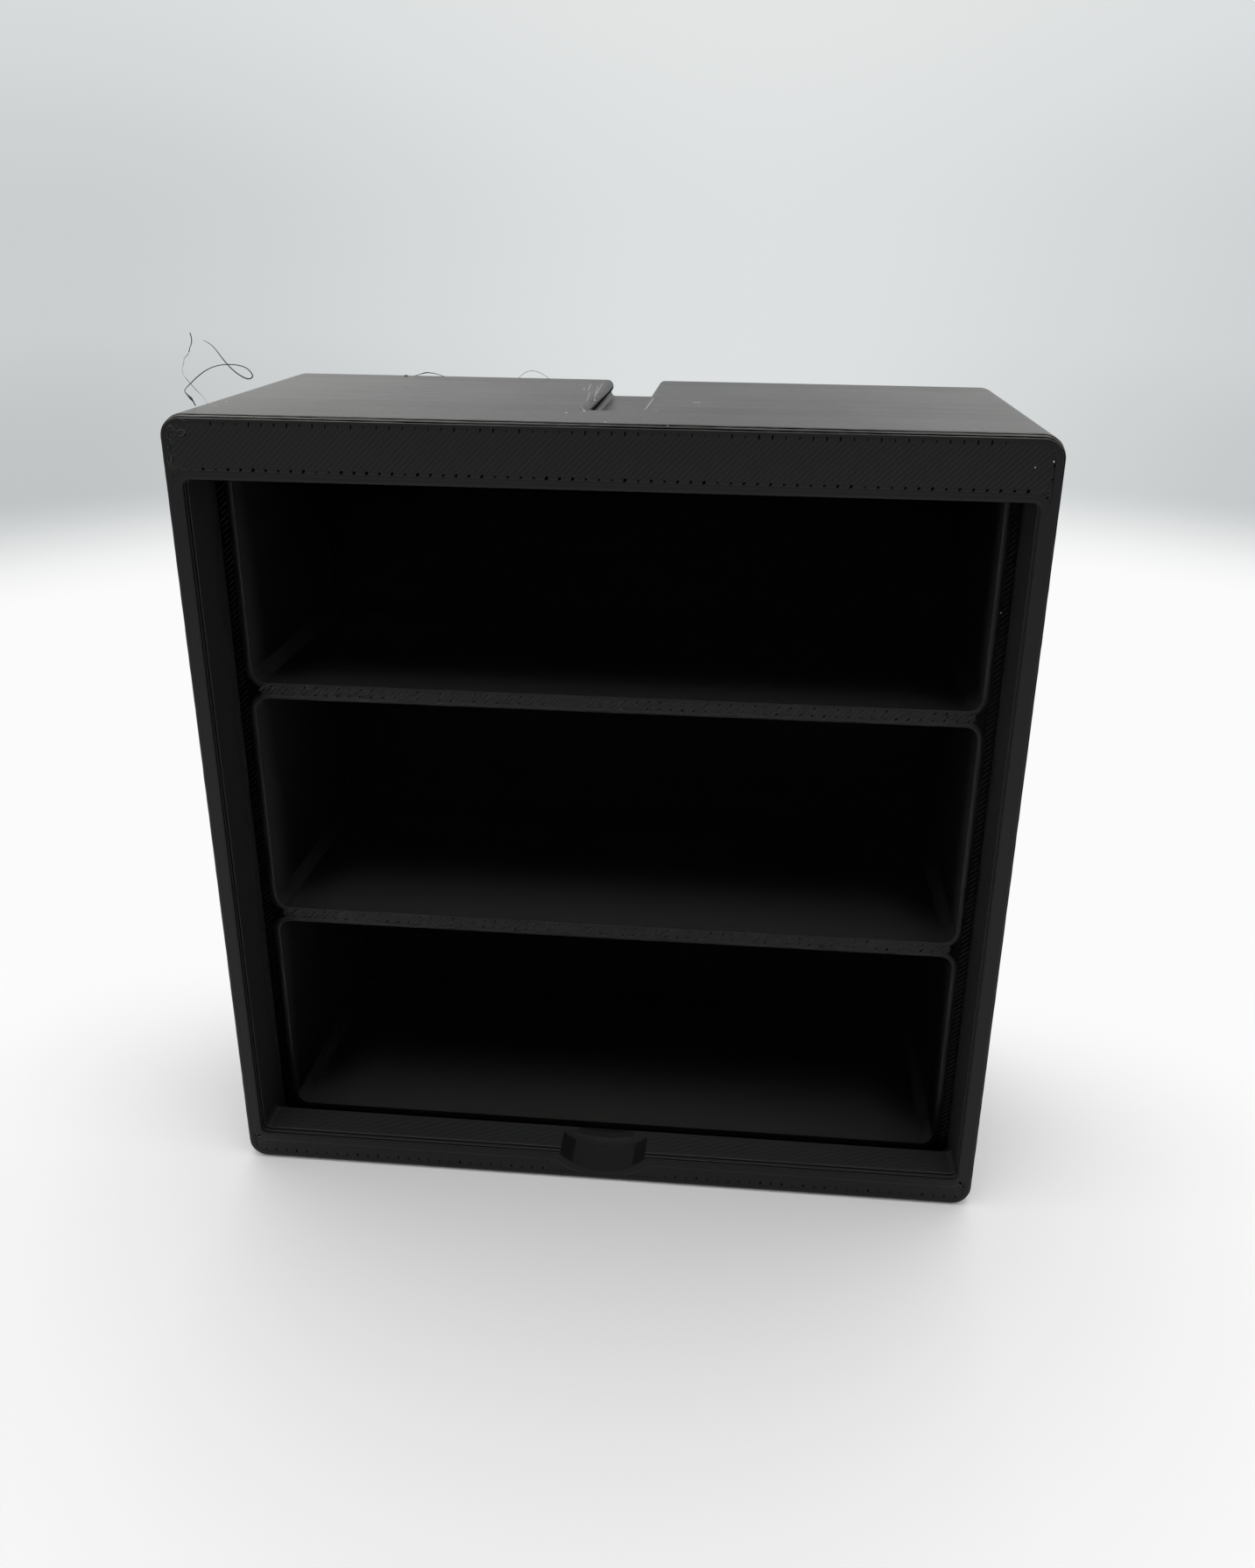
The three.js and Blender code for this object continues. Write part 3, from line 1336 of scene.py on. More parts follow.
@dataclass
class PrintedCase:
    """The printed case: its carved shell, and the lines and rows that lie on it."""

    sizes: CaseSizes
    made: Print
    limits: Limits
    shop: Workshop

    def __post_init__(self) -> None:
        """Makes the materials."""
        self.line_finish = BlackPlastic().material("printed_black_lines", self.shop)
        self.finishes = []
        for look, finish in self.shell_finishes().items():
            self.finishes.append(finish.material(f"printed_black_{look.name.lower()}", self.shop))

    def shell_finishes(self) -> dict[Look, BlackPlastic]:
        """Chooses a finish for each kind of face, in the order of the slots.

        Returns:
            The finishes.
        """
        plain = BlackPlastic()
        ridged = replace(plain, roughness=0.62, specular=0.57)
        # Near-black colours are painted shade: on the ledge, in the grooves, under the slot's lips and deep
        # in the bays.
        shade_black = dict.fromkeys(("colour", "cloud_colour", "dust_colour"), (0.0002, 0.0002, 0.0002, 1))
        dull = replace(plain, roughness=0.7, specular=0.01, **shade_black)
        start = self.sizes.front + self.sizes.ledge_depth
        return {
            Look.SHELL: plain,
            Look.INSIDE: BayPlastic(
                roughness=0.7, specular=0.01, lit_from=start, lit_to=start + LIT_REACH,
                gleam_to=start + GLEAM_REACH, **shade_black,
            ),
            Look.RIDGED: ridged,
            # The roof's paler colours paint part of its sheen.
            Look.ROOF: RoofPlastic(
                colour=(0.008, 0.0078, 0.0075, 1), cloud_colour=(0.03, 0.029, 0.027, 1), roughness=0.36,
                specular=0.38, gloss_colour=(1, 0.985, 0.955, 1), grain=1.1, speck_size=0.035,
            ),
            Look.LEDGE: dull,
            # The sill's paler colours are painted light from above, also put on the scoop's web.
            Look.SILL: replace(
                ridged, colour=(0.006, 0.006, 0.006, 1), cloud_colour=(0.01, 0.01, 0.01, 1), specular=0.7
            ),
            Look.SHADED: replace(ridged, specular=0.43),
            # The right ledge's less black colours are painted light from the right.
            Look.LEDGE_RIGHT: replace(
                dull, colour=(0.002, 0.002, 0.002, 1), cloud_colour=(0.006, 0.006, 0.006, 1)
            ),
        }

    @property
    def outer_outline(self) -> Outline:
        """Outline of the case."""
        corner = self.sizes.outer_corner_radius
        return rectangle(self.sizes.width, 0, self.sizes.height, corner, OUTER_STEPS, SIDE_STEPS)

    @property
    def opening_outline(self) -> Outline:
        """Draws the front opening.

        Returns:
            The outline.
        """
        sizes = self.sizes
        return rectangle(
            sizes.opening_width, sizes.sill_height, sizes.opening_top, sizes.opening_corner_radius
        )

    @property
    def groove_outline(self) -> Outline:
        """Draws the groove for the pane.

        Returns:
            The outline.
        """
        sizes = self.sizes
        top = sizes.height - sizes.head_skin
        return rectangle(sizes.opening_width, sizes.trough_skin, top, sizes.opening_corner_radius)

    def bay_outline(self, index: int) -> Outline:
        """Draws a bay.

        Args:
            index: Number of the bay, from the lowest.

        Returns:
            The outline.
        """
        bottom = self.sizes.bay_bottom(index)
        top = bottom + self.sizes.bay_height
        return rectangle(self.sizes.bay_width, bottom, top, self.sizes.bay_corner_radius)

    def rim_outline(self, grown: float) -> list[Point]:
        """Draws the opening at the front face, where its outline also runs round the scoop.

        Args:
            grown: How far it is grown.

        Returns:
            The points.
        """
        radius = self.sizes.scoop_radius + grown
        drop = self.sizes.scoop_centre - self.sizes.sill_height + grown
        angle = math.degrees(math.asin(drop / radius))
        notch = arc((0, self.sizes.scoop_centre), radius, 180 + angle, 360 - angle, NOTCH_STEPS)
        return self.opening_outline(grown) + notch

    def stepped_edge(self) -> list[Ring]:
        """Works out the outer front edge: the first two layers step in, each with a round nose.

        Returns:
            The rings, from front to back.
        """
        made = self.made
        starts = (made.bead_height, *made.first_layers)
        rings = []
        for start, inset, radius in zip(starts, (*made.first_insets, 0), made.nose_radii):
            if rings:
                before = rings[-1].grown
                rings.append(Ring(start - made.groove_half_width, before, made.wobble))
                rings.append(Ring(start, before - made.groove_depth, made.wobble))
            nose = round_over(start, radius, -1, NOSE_STEPS)
            rings += [Ring(ring.depth, ring.grown - inset, made.wobble) for ring in nose]
        return rings

    def cavity_edge(self) -> list[Ring]:
        """Works out the opening's front edge: a round edge, two scored lines and a low swell.

        Returns:
            The rings, from front to back.
        """
        made = self.made
        rings = round_over(made.bead_height, made.edge_radius, 1)
        for depth in made.first_layers:
            rings += scored_line(depth, made.score_half_width, made.score_depth)
        start, middle, end = made.shoulder
        swell = ((start, 0.5), (middle, 1), (end, 0))
        return rings + [Ring(depth, -share * made.shoulder_height) for depth, share in swell]

    def loft(self, name: str, outline: Outline, *rings: Ring) -> bpy.types.Object:
        """Closed solid through a row of outlines along the depth.

        Args:
            name: Name of the new object.
            outline: Gives the points of the outline, grown by a distance.
            rings: Depth and growth of each outline, from front to back.

        Returns:
            The solid.
        """
        chance = random.Random(LOFT_SEED)
        outlines = []
        for ring in rings:
            depth = self.sizes.front + ring.depth
            outlines.append([(x, depth, z) for x, z in strayed(outline, ring, chance)])
        return skin(name, outlines)

    def block(self) -> bpy.types.Object:
        """Makes the case before anything is cut from it.

        Returns:
            The solid.
        """
        start = self.made.bead_height
        edge = reversed(round_over(start, self.made.edge_radius, -1))
        back = [Ring(self.sizes.depth - ring.depth + start, ring.grown) for ring in edge]
        return self.loft("printed_case", self.outer_outline, *self.stepped_edge(), *back)

    def opening(self) -> bpy.types.Object:
        """Makes the opening's cutter.

        Returns:
            The solid that cuts it.
        """
        start = Ring(-self.sizes.overrun, self.made.edge_radius)
        end = Ring(self.sizes.ledge_depth + self.made.bead_height, 0)
        return self.loft("opening", self.opening_outline, start, *self.cavity_edge(), end)

    def groove(self) -> bpy.types.Object:
        """What the groove takes away."""
        end = Ring(self.sizes.ledge_depth + self.made.bead_height, 0)
        return self.loft("groove", self.groove_outline, Ring(self.sizes.sill_depth, 0), end)

    def bay(self, index: int) -> bpy.types.Object:
        """Makes a bay's cutter.

        Args:
            index: Number of the bay, from the lowest.

        Returns:
            The solid that cuts it.
        """
        radius = self.made.edge_radius
        mouth = self.sizes.ledge_depth + self.made.bead_height
        rings = [Ring(mouth - self.sizes.overrun, radius), *round_over(mouth, radius, 1)]
        end = Ring(self.sizes.depth - self.sizes.back_thickness, 0)
        return self.loft("bay", self.bay_outline(index), *rings, end)

    def bar(self, radius: float, lowest: float, end: float) -> bpy.types.Object:
        """Round bar from before the front face to a depth, given by its radius and its lowest line."""
        return self.loft("bar", circle(radius, lowest), Ring(-self.sizes.overrun, 0), Ring(end, 0))

    def slot_section(self, grown: float) -> list[Point]:
        """Draws the connector slot's section: round lips, a slight undercut and a round foot.

        Args:
            grown: How far it is grown.

        Returns:
            The points.
        """
        sizes = self.sizes
        neck = sizes.slot_neck_width / 2
        lip = sizes.slot_lip_radius - grown
        lip_x = neck + sizes.slot_lip_radius
        lip_z = sizes.height - sizes.slot_lip_radius
        foot = sizes.slot_foot_radius
        foot_x = neck + sizes.slot_undercut - foot
        foot_z = sizes.height - sizes.slot_depth + foot
        under = math.degrees(math.acos(1 - sizes.slot_undercut / sizes.slot_lip_radius))
        high = sizes.height + sizes.overrun
        return [
            (lip_x, high), (-lip_x, high),
            *arc((-lip_x, lip_z), lip, 90, -under, LIP_STEPS),
            *arc((-foot_x, foot_z), foot, 180, 270, FOOT_STEPS),
            *arc((foot_x, foot_z), foot, 270, 360, FOOT_STEPS),
            *arc((lip_x, lip_z), lip, 180 + under, 90, LIP_STEPS),
        ]

    def slot(self) -> bpy.types.Object:
        """Makes the connector slot's cutter: its section swept along the depth, ended by its plan.

        Returns:
            The solid that cuts it.
        """
        sizes = self.sizes
        end = Ring(sizes.depth + 2 * sizes.overrun, 0)
        swept = self.loft("slot", self.slot_section, Ring(0, 0), end)
        half = sizes.slot_neck_width / 2 + sizes.slot_lip_radius
        radius = sizes.slot_corner_radius
        start = sizes.front + sizes.slot_setback + radius
        plan = [(half, sizes.depth), (-half, sizes.depth)]
        plan += arc((radius - half, start), radius, 180, 270, CORNER_STEPS)
        plan += arc((half - radius, start), radius, 270, 360, CORNER_STEPS)
        levels = (sizes.height - 2 * sizes.slot_depth, sizes.height + 2 * sizes.overrun)
        ending = skin("slot_plan", [[(x, y, level) for x, y in plan] for level in levels])
        carve(swept, ending, Cut.KEEP_SHARED)
        return swept

    def scoop(self) -> list[bpy.types.Object]:
        """Makes the cutters of the finger scoop and of the dip behind it.

        Returns:
            The solids that cut them.
        """
        sizes = self.sizes
        scoop = self.bar(sizes.scoop_radius, sizes.scoop_skin, sizes.sill_depth - sizes.scoop_web)
        lowest = sizes.sill_height - sizes.web_dip_depth
        return [scoop, self.bar(sizes.web_dip_radius, lowest, sizes.sill_depth + sizes.overrun)]

    def regions(self) -> dict[str, Rows]:
        """Works out the rectangles that are filled with rows.

        Returns:
            The rectangles by name.
        """
        sizes = self.sizes
        made = self.made
        line = made.line_width
        front = made.bead_height
        flat = made.sill_row_height
        ledge = sizes.ledge_depth + front
        side = made.head_row_end
        notch = made.scoop_row_end
        low, high = made.sill_rows
        head_low, head_high = (sizes.opening_top + level for level in made.head_rows)
        found = [
            Rows("head", -side, side, head_low, head_high, front, line, made.row_height),
            Rows("sill_left", -side, -notch, low, high, front, line, flat),
            Rows("sill_right", notch, made.sill_row_end, low, high, front, line, flat),
        ]
        edge = sizes.bay_width / 2 + made.ledge_gaps[0]
        wall = sizes.opening_width / 2 - made.ledge_gaps[1]
        high = sizes.height - sizes.head_skin - line
        for name, left, right in (("ledge_left", -wall, -edge), ("ledge_right", edge, wall)):
            found.append(Rows(name, left, right, made.ledge_start, high, ledge, made.ledge_line_width))
        line = made.shelf_line_width
        side = made.shelf_row_end
        for index in range(sizes.bay_count - 1):
            under = sizes.bay_bottom(index) + sizes.bay_height
            low, high = (under + level for level in made.shelf_rows)
            found.append(Rows(f"shelf_{index}", -side, side, low, high, ledge, line, made.shelf_row_height))
        return {region.name: region for region in found}

    def pits_of(self, name: str) -> tuple[Pits, ...]:
        """The pits of a rectangle."""
        kinds = {"head": HEAD_PITS, "sill": SILL_PITS, "shelf": SHELF_PITS}
        return kinds.get(name.split("_")[0], ())

    def fill(
        self, recipe: GeometryRecipe, region: Rows, **values: float | bpy.types.Material
    ) -> bpy.types.Mesh:
        """Runs a recipe on a rectangle of rows."""
        source = new_object(region.name, bpy.data.meshes.new(region.name))
        return recipe.run(source, **region.inputs(self.sizes.front), **values)

    def pit_cutter(self, region: Rows, pits: Pits) -> bpy.types.Object:
        """Pits along one side of a rectangle of rows.

        Args:
            region: The rectangle.
            pits: Their size and their side.

        Returns:
            The solid that cuts them.
        """
        left, right = pits.margins
        lengths = {
            "pit_width": pits.width, "pit_length": pits.length, "pit_depth": self.made.pit_depth,
            "left_margin": left, "right_margin": right,
        }
        values = {key: length * MM for key, length in lengths.items()}
        values.update(tilt=math.radians(pits.tilt), high_ends=pits.ends.value, seed=pits.seed)
        mesh = self.fill(self.shop.pits, region, material=self.finishes[Look.SHELL.value], **values)
        return new_object("pits", mesh)

    def pinholes(self) -> bpy.types.Object:
        """Makes the single holes on the front face.

        Returns:
            The solid that cuts them.
        """
        shape = bmesh.new()
        upright = Matrix.Rotation(math.pi / 2, 4, "X")
        for hole in PINHOLES:
            place = Matrix.Translation(Vector((hole.x, self.sizes.front, hole.z)) * MM)
            turn = Matrix.Rotation(math.radians(hole.tilt), 4, "Y")
            size = Matrix.Diagonal((hole.width * MM, MM, hole.length * MM, 1))
            matrix = place @ turn @ size @ upright
            bmesh.ops.create_cone(shape, matrix=matrix, **PIN)
        return new_object("pinholes", to_mesh("pinholes", shape))

    def pierce(self, body: bpy.types.Object, names: Sequence[str]) -> None:
        """Cuts the pits of the named rectangles, and the pinholes where the head is among them.

        Args:
            body: The solid that they are cut into.
            names: Names of the rectangles.
        """
        regions = self.regions()
        for name in names:
            for pits in self.pits_of(name):
                carve(body, self.pit_cutter(regions[name], pits))
        if "head" in names:
            carve(body, self.pinholes())

    def shell(self) -> bpy.types.Object:
        """Makes the carved shell, which stands for the whole case.

        Returns:
            The piece.
        """
        body = self.block()
        bays = [self.bay(index) for index in range(self.sizes.bay_count)]
        for cutter in (self.opening(), self.groove(), *bays, self.slot(), *self.scoop()):
            carve(body, cutter)
        self.pierce(body, list(self.regions()))
        for polygon in body.data.polygons:
            polygon.use_smooth = True
        body.data.set_sharp_from_angle(angle=math.radians(self.limits.sharp_angle))
        apply_modifier(body, "WEIGHTED_NORMAL", keep_sharp=True)
        self.mark(body.data)
        self.dress(body.data)
        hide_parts("case_body")
        ride_case(body)
        return body

    def mark(self, mesh: bpy.types.Mesh) -> None:
        """Writes on the faces which of them show layers, how much, and how much painted light and painted
        sheen the bays get.

        Args:
            mesh: The shell's mesh.
        """
        kinds = {Mark.WALL: "FACE", Mark.RELIEF: "FACE", Mark.LIT: "CORNER", Mark.GLEAM: "CORNER"}
        for mark, kind in kinds.items():
            mesh.attributes.new(mark.value, "FLOAT", kind)
        walls, reliefs, lits, gleams = (mesh.attributes[mark.value].data for mark in kinds)
        for polygon in mesh.polygons:
            walls[polygon.index].value = float(abs(polygon.normal.y) <= self.limits.facing)
            reliefs[polygon.index].value = self.relief(polygon.center / MM)
            for index in polygon.loop_indices:
                height = mesh.vertices[mesh.loops[index].vertex_index].co.z / MM
                lits[index].value, gleams[index].value = self.shine(polygon, height)

    def relief(self, middle: Vector) -> float:
        """Works out how much of the layers a face shows.

        Args:
            middle: The middle of the face.

        Returns:
            The share, from 0 to 1.
        """
        sizes = self.sizes
        near = self.limits.outer_wall
        if abs(middle.x) < self.limits.scoop_share * sizes.scoop_radius and middle.z < sizes.sill_height:
            return self.made.scoop_ridges
        if abs(middle.x) > sizes.width / 2 - near or not near <= middle.z <= sizes.height - near:
            return self.made.outer_ridges
        in_bay = middle.y > sizes.front + sizes.ledge_depth + self.limits.wall
        return self.made.bay_ridges if in_bay else 1.0

    def shine(self, polygon: bpy.types.MeshPolygon, height: float) -> Point:
        """How much painted light a corner of a face gets at the mouth of its bay, and how much painted sheen
        reaches further in.

        Args:
            polygon: The face.
            height: Height of the corner.

        Returns:
            Both shares, from 0 to 1.
        """
        sizes = self.sizes
        above = polygon.center.z / MM - sizes.floor_thickness + sizes.shelf_thickness / 2
        rise = above / (sizes.bay_height + sizes.shelf_thickness)
        index = min(max(int(rise), 0), sizes.bay_count - 1)
        share = min(max((height - sizes.bay_bottom(index)) / sizes.bay_height, 0.0), 1.0)
        left = polygon.center.x < 0
        normal = polygon.normal
        if min(normal.z, abs(normal.x)) > self.limits.corner_slope:
            return CORNER_LIT, (LEFT_CORNERS if left else RIGHT_CORNERS)[index]
        if abs(normal.x) > self.limits.wall_slope:
            wall = (LEFT_SHINES if left else RIGHT_SHINES)[index]
            lit, gleam = ((1 - share) * low + share * high for low, high in (wall.lit, wall.gleam))
            return lit, gleam
        return (FLOOR_LIT[index] if normal.z > 0 else ROOF_LIT), 0.0

    def in_groove(self, middle: Vector) -> bool:
        """Whether a face lies inside one of the thin grooves between the first layers, which get the black
        ledge finish as painted shade.

        Args:
            middle: The middle of the face.

        Returns:
            True if it does.
        """
        sizes = self.sizes
        made = self.made
        past = self.limits.score
        edge = self.limits.outer_edge
        across = abs(middle.x)
        depths = [middle.y - sizes.front - start for start in made.first_layers]
        if across > sizes.width / 2 - edge or not edge < middle.z < sizes.height - edge:
            near = self.limits.groove
            return any(-made.groove_half_width - near < depth < near for depth in depths)
        half = sizes.opening_width / 2 + past
        beside_scoop = across > sizes.scoop_radius and middle.z < sizes.sill_height - past
        outside = across > half or middle.z > sizes.opening_top + past or beside_scoop
        scored = any(abs(depth) < made.score_half_width for depth in depths)
        return scored and outside and across < half + made.score_depth

    def look(self, middle: Vector, normal: Vector) -> Look:
        """Finish of a face.

        Args:
            middle: Its middle.
            normal: The way it looks.

        Returns:
            The finish.
        """
        sizes = self.sizes
        limits = self.limits
        facing = limits.facing
        across = abs(middle.x)
        depth = middle.y - sizes.front
        ledge = sizes.ledge_depth
        front = 2 * self.made.bead_height
        top = sizes.height - sizes.slot_depth - limits.under_slot
        bay_side = sizes.bay_width / 2 + limits.slack
        by_wall = across < sizes.opening_width / 2 + limits.wall
        within = sizes.scoop_skin - limits.wall < middle.z < top
        back = sizes.depth - sizes.back_thickness + limits.slack
        in_depth = ledge + 2 * self.made.edge_radius < depth < back
        in_front = front < depth < ledge and by_wall and within
        in_scoop = in_front and across < limits.scoop_share * sizes.scoop_radius
        in_scoop = in_scoop and middle.z < sizes.sill_height + limits.slack
        grooved = self.in_groove(middle)
        shaded = (in_front and normal.x > facing) or (in_scoop and abs(normal.x) > facing)
        on_sill = in_front and normal.z > limits.sill_slope and middle.z < sizes.sill_height + limits.sill
        on_ledge = normal.y < -facing and abs(depth - ledge) < limits.ledge and by_wall
        in_slot = across < sizes.slot_neck_width / 2 + limits.slot and middle.z > top
        in_slot = in_slot and normal.z < limits.slot_slope
        on_roof = middle.z > top and (depth > front + limits.roof or normal.z > limits.roof_slope)
        # The ledge finish in the grooves, under the slot's lips and on the ledge is painted shade; the sill
        # finish on the sill and the scoop's web, and the right ledge finish, are painted light.
        kinds = (
            (shaded or (grooved and middle.z < sizes.sill_height), Look.SHADED),
            (grooved or (in_slot and normal.z < -limits.lip_slope), Look.LEDGE),
            (on_sill or (in_scoop and normal.y < -facing), Look.SILL),
            (on_ledge and middle.x > bay_side - limits.right_ledge, Look.LEDGE_RIGHT),
            (on_ledge, Look.LEDGE),
            (in_depth and across < bay_side and within, Look.INSIDE),
            (in_front, Look.RIDGED),
            (on_roof and not in_slot, Look.ROOF),
        )
        return next((look for fits, look in kinds if fits), Look.SHELL)

    def dress(self, mesh: bpy.types.Mesh) -> None:
        """Gives each face its finish.

        Args:
            mesh: The shell's mesh.
        """
        mesh.materials.clear()
        for finish in self.finishes:
            mesh.materials.append(finish)
        for polygon in mesh.polygons:
            polygon.material_index = self.look(polygon.center / MM, polygon.normal).value

    def lines(self, name: str, outlines: Sequence[list[Point]], depth: float) -> bpy.types.Mesh:
        """Beads along closed outlines.

        Args:
            name: Name of the drawing that they follow.
            outlines: The outlines.
            depth: How far they lie behind the front face.

        Returns:
            The beads.
        """
        shape = bmesh.new()
        for outline in outlines:
            corners = [shape.verts.new((x * MM, y * MM, 0)) for x, y in outline]
            for first, second in zip(corners, corners[1:] + corners[:1]):
                shape.edges.new((first, second))
        bmesh.ops.remove_doubles(shape, verts=shape.verts, dist=SAME_POINT)
        made = self.made
        return self.shop.loops.run(
            new_object(name, to_mesh(name, shape)),
            bead_width=made.line_width * made.bead_overlap * MM,
            bead_height=made.bead_height * MM,
            depth=(self.sizes.front + depth) * MM,
            material=self.line_finish,
        )

    def rows(self, region: Rows) -> bpy.types.Mesh:
        """Makes the beads that fill a rectangle, to and fro.

        Args:
            region: The rectangle.

        Returns:
            The beads.
        """
        width = region.line * self.made.row_overlap * MM
        shape = {"bead_width": width, "bead_height": region.height * MM, "turn": self.made.turn * MM}
        return self.fill(self.shop.rows, region, material=self.line_finish, **shape)

    def ticks(self, region: Rows) -> bpy.types.Mesh:
        """Short thin beads across a narrow strip."""
        shape = {"tick_width": self.made.tick_width * MM, "tick_height": self.made.tick_height * MM}
        return self.fill(self.shop.ticks, region, material=self.line_finish, seed=TICK_SEED, **shape)

    def rim_lines(self) -> bpy.types.Object:
        """Makes the lines and rows on the front face.

        Returns:
            The piece.
        """
        made = self.made
        line = made.line_width
        inset = made.first_insets[0] + made.nose_radii[0]
        edges = [self.outer_outline(-inset - line / 2)]
        edges += [self.rim_outline(made.bead_overlap * line / 2), self.rim_outline(made.second_line * line)]
        names = ("head", "sill_left", "sill_right")
        regions = self.regions()
        rows = [self.rows(regions[name]) for name in names]
        return self.join("rim_lines", [self.lines("rim_edges", edges, made.bead_height), *rows], names)

    def ledge_lines(self) -> bpy.types.Object:
        """Makes the lines and rows on the ledge and on the front edges of the shelves.

        Returns:
            The piece.
        """
        made = self.made
        bays = range(self.sizes.bay_count)
        edges = [self.bay_outline(index)(made.bay_line * made.line_width) for index in bays]
        names = [f"shelf_{index}" for index in bays[:-1]]
        regions = self.regions()
        meshes = [self.lines("ledge_edges", edges, self.sizes.ledge_depth + made.bead_height)]
        meshes += [self.rows(regions[name]) for name in names]
        meshes += [self.ticks(regions[name]) for name in ("ledge_left", "ledge_right")]
        return self.join("ledge_lines", meshes, names)

    def join(self, name: str, meshes: Sequence[bpy.types.Mesh], names: Sequence[str]) -> bpy.types.Object:
        """Joins meshes, cuts their pits and makes them a piece that rides on the case.

        Args:
            name: Name of the piece.
            meshes: The meshes.
            names: Names of the rectangles that have pits in it.

        Returns:
            The piece.
        """
        shape = bmesh.new()
        for mesh in meshes:
            shape.from_mesh(mesh)
        for face in shape.faces:
            face.material_index = 0
        whole = to_mesh(name, shape)
        whole.materials.append(self.line_finish)
        piece = new_object(name, whole)
        self.pierce(piece, names)
        ride_case(piece)
        return piece


@dataclass(frozen=True)
class Strand:
    """One thread in an upright plane or lying flat: how far back or how high it lies, and its points."""

    level: float
    points: tuple[Place, ...]
    tone: Tone = Tone.DARK
    flat: bool = False

    def place(self, across: float, other: float) -> tuple[float, float, float, float]:
        """One point of the thread, as the curve takes it."""
        along, up = (other, self.level) if self.flat else (self.level, other)
        return across * MM, along * MM, up * MM, 1


@dataclass(frozen=True)
class Fleck:
    """A crumb or a fleck of dust: its middle and its three sizes."""

    middle: Place
    size: Place
    tone: Tone = Tone.PALE


CORNER_STRANDS = (
    Strand(-12, (
        (-44.18, 93.3, 0.06), (-44.35, 93.72, 0.04), (-44.58, 94.04, 0.13), (-44.72, 94.2, 0.1),
        (-44.9, 94.38, 0.06), (-45.22, 94.76, 0.035), (-45.1, 95.02, 0.03), (-44.6, 95.47, 0.045),
        (-43.48, 96.44, 0.05), (-42.25, 97.22, 0.045), (-40.87, 97.63, 0.045), (-39.27, 97.66, 0.045),
        (-38.11, 97.36, 0.045), (-37.56, 96.66, 0.05), (-37.62, 96.37, 0.055), (-37.9, 96.22, 0.06),
        (-38.3, 96.21, 0.06), (-39.12, 96.63, 0.055), (-39.97, 97.36, 0.05), (-40.73, 98.32, 0.045),
        (-41.4, 99.33, 0.035), (-42.07, 99.88, 0.03), (-42.51, 100.04, 0.02),
    )),
    Strand(-11.7, (
        (-44.02, 100.74, 0.05), (-43.92, 100.43, 0.04), (-43.9, 100.0, 0.045), (-44.02, 99.53, 0.035),
        (-44.23, 99.25, 0.03), (-44.35, 98.81, 0.04),
    )),
    Strand(-11.7, (
        (-44.35, 98.85, 0.03), (-44.45, 98.62, 0.07), (-44.67, 98.4, 0.08), (-44.93, 98.24, 0.04),
        (-45.0, 97.92, 0.035), (-45.15, 97.54, 0.05), (-45.31, 97.04, 0.015),
    ), Tone.PALE),
    Strand(-11.7, (
        (-45.31, 97.06, 0.012), (-45.3, 96.66, 0.01), (-45.17, 96.28, 0.012), (-44.97, 96.07, 0.025),
        (-44.77, 95.75, 0.02), (-44.33, 95.25, 0.025), (-44.01, 94.85, 0.025), (-43.65, 94.5, 0.015),
        (-43.34, 94.22, 0.01), (-42.9, 93.36, 0.01),
    )),
)
SCRATCHES = (
    (
        (-43.83, 92.46, 0.01), (-43.56, 91.88, 0.02), (-43.21, 91.72, 0.014), (-42.67, 91.96, 0.02),
        (-42.35, 91.77, 0.025), (-42.46, 91.45, 0.015), (-42.9, 91.21, 0.02), (-43.39, 91.36, 0.005),
    ),
    ((-44.3, 92.0, 0.005), (-43.95, 92.3, 0.02), (-43.6, 92.2, 0.015), (-43.3, 92.5, 0.005)),
    ((-44.38, 91.4, 0.005), (-44.24, 90.91, 0.02), (-43.85, 90.76, 0.015), (-43.35, 90.9, 0.005)),
    ((-44.1, 91.3, 0.005), (-43.8, 91.5, 0.02), (-43.5, 91.1, 0.005)),
    ((-43.2, 92.1, 0.01), (-42.9, 92.2, 0.02), (-42.7, 92.45, 0.005)),
    (
        (-44.34, 89.59, 0.005), (-44.03, 89.03, 0.02), (-44.35, 88.49, 0.015), (-43.99, 88.04, 0.02),
        (-44.27, 87.5, 0.005),
    ),
    ((-44.6, 88.82, 0.005), (-44.5, 88.22, 0.02), (-44.28, 87.9, 0.005)),
    ((-44.5, 90.2, 0.005), (-44.4, 89.9, 0.02), (-44.2, 90.1, 0.005)),
    ((-42.87, 93.0, 0.005), (-42.55, 92.88, 0.02), (-42.08, 92.8, 0.005)),
)
# Pale marks lying on the roof: scratches, and the first one a painted highlight along the right lip of the
# slot.
ROOF_MARKS = (
    ((3.5, -8.35, 0.01), (3.53, -3.38, 0.05), (3.61, 1.76, 0.02)),
    ((-5.19, 14.64, 0.01), (-4.92, 11.17, 0.04), (-4.71, 7.29, 0.01)),
    ((-4.01, 11.91, 0.01), (-3.49, 5.89, 0.04), (-2.89, -1.15, 0.01)),
    ((-4.29, 6.29, 0.01), (-3.84, 1.67, 0.03), (-3.56, -2.23, 0.01)),
    ((-3.88, 14.88, 0.01), (-3.47, 9.17, 0.03), (-3.21, 4.35, 0.01)),
    ((-3.7, -6.0, 0.01), (-3.3, -8.1, 0.03), (-2.75, -9.83, 0.01)),
    ((8.2, -1.64, 0.01), (8.48, -0.93, 0.05), (8.82, -1.54, 0.01)),
    ((4.58, -8.69, 0.01), (4.78, -8.57, 0.04), (4.98, -8.45, 0.01)),
)
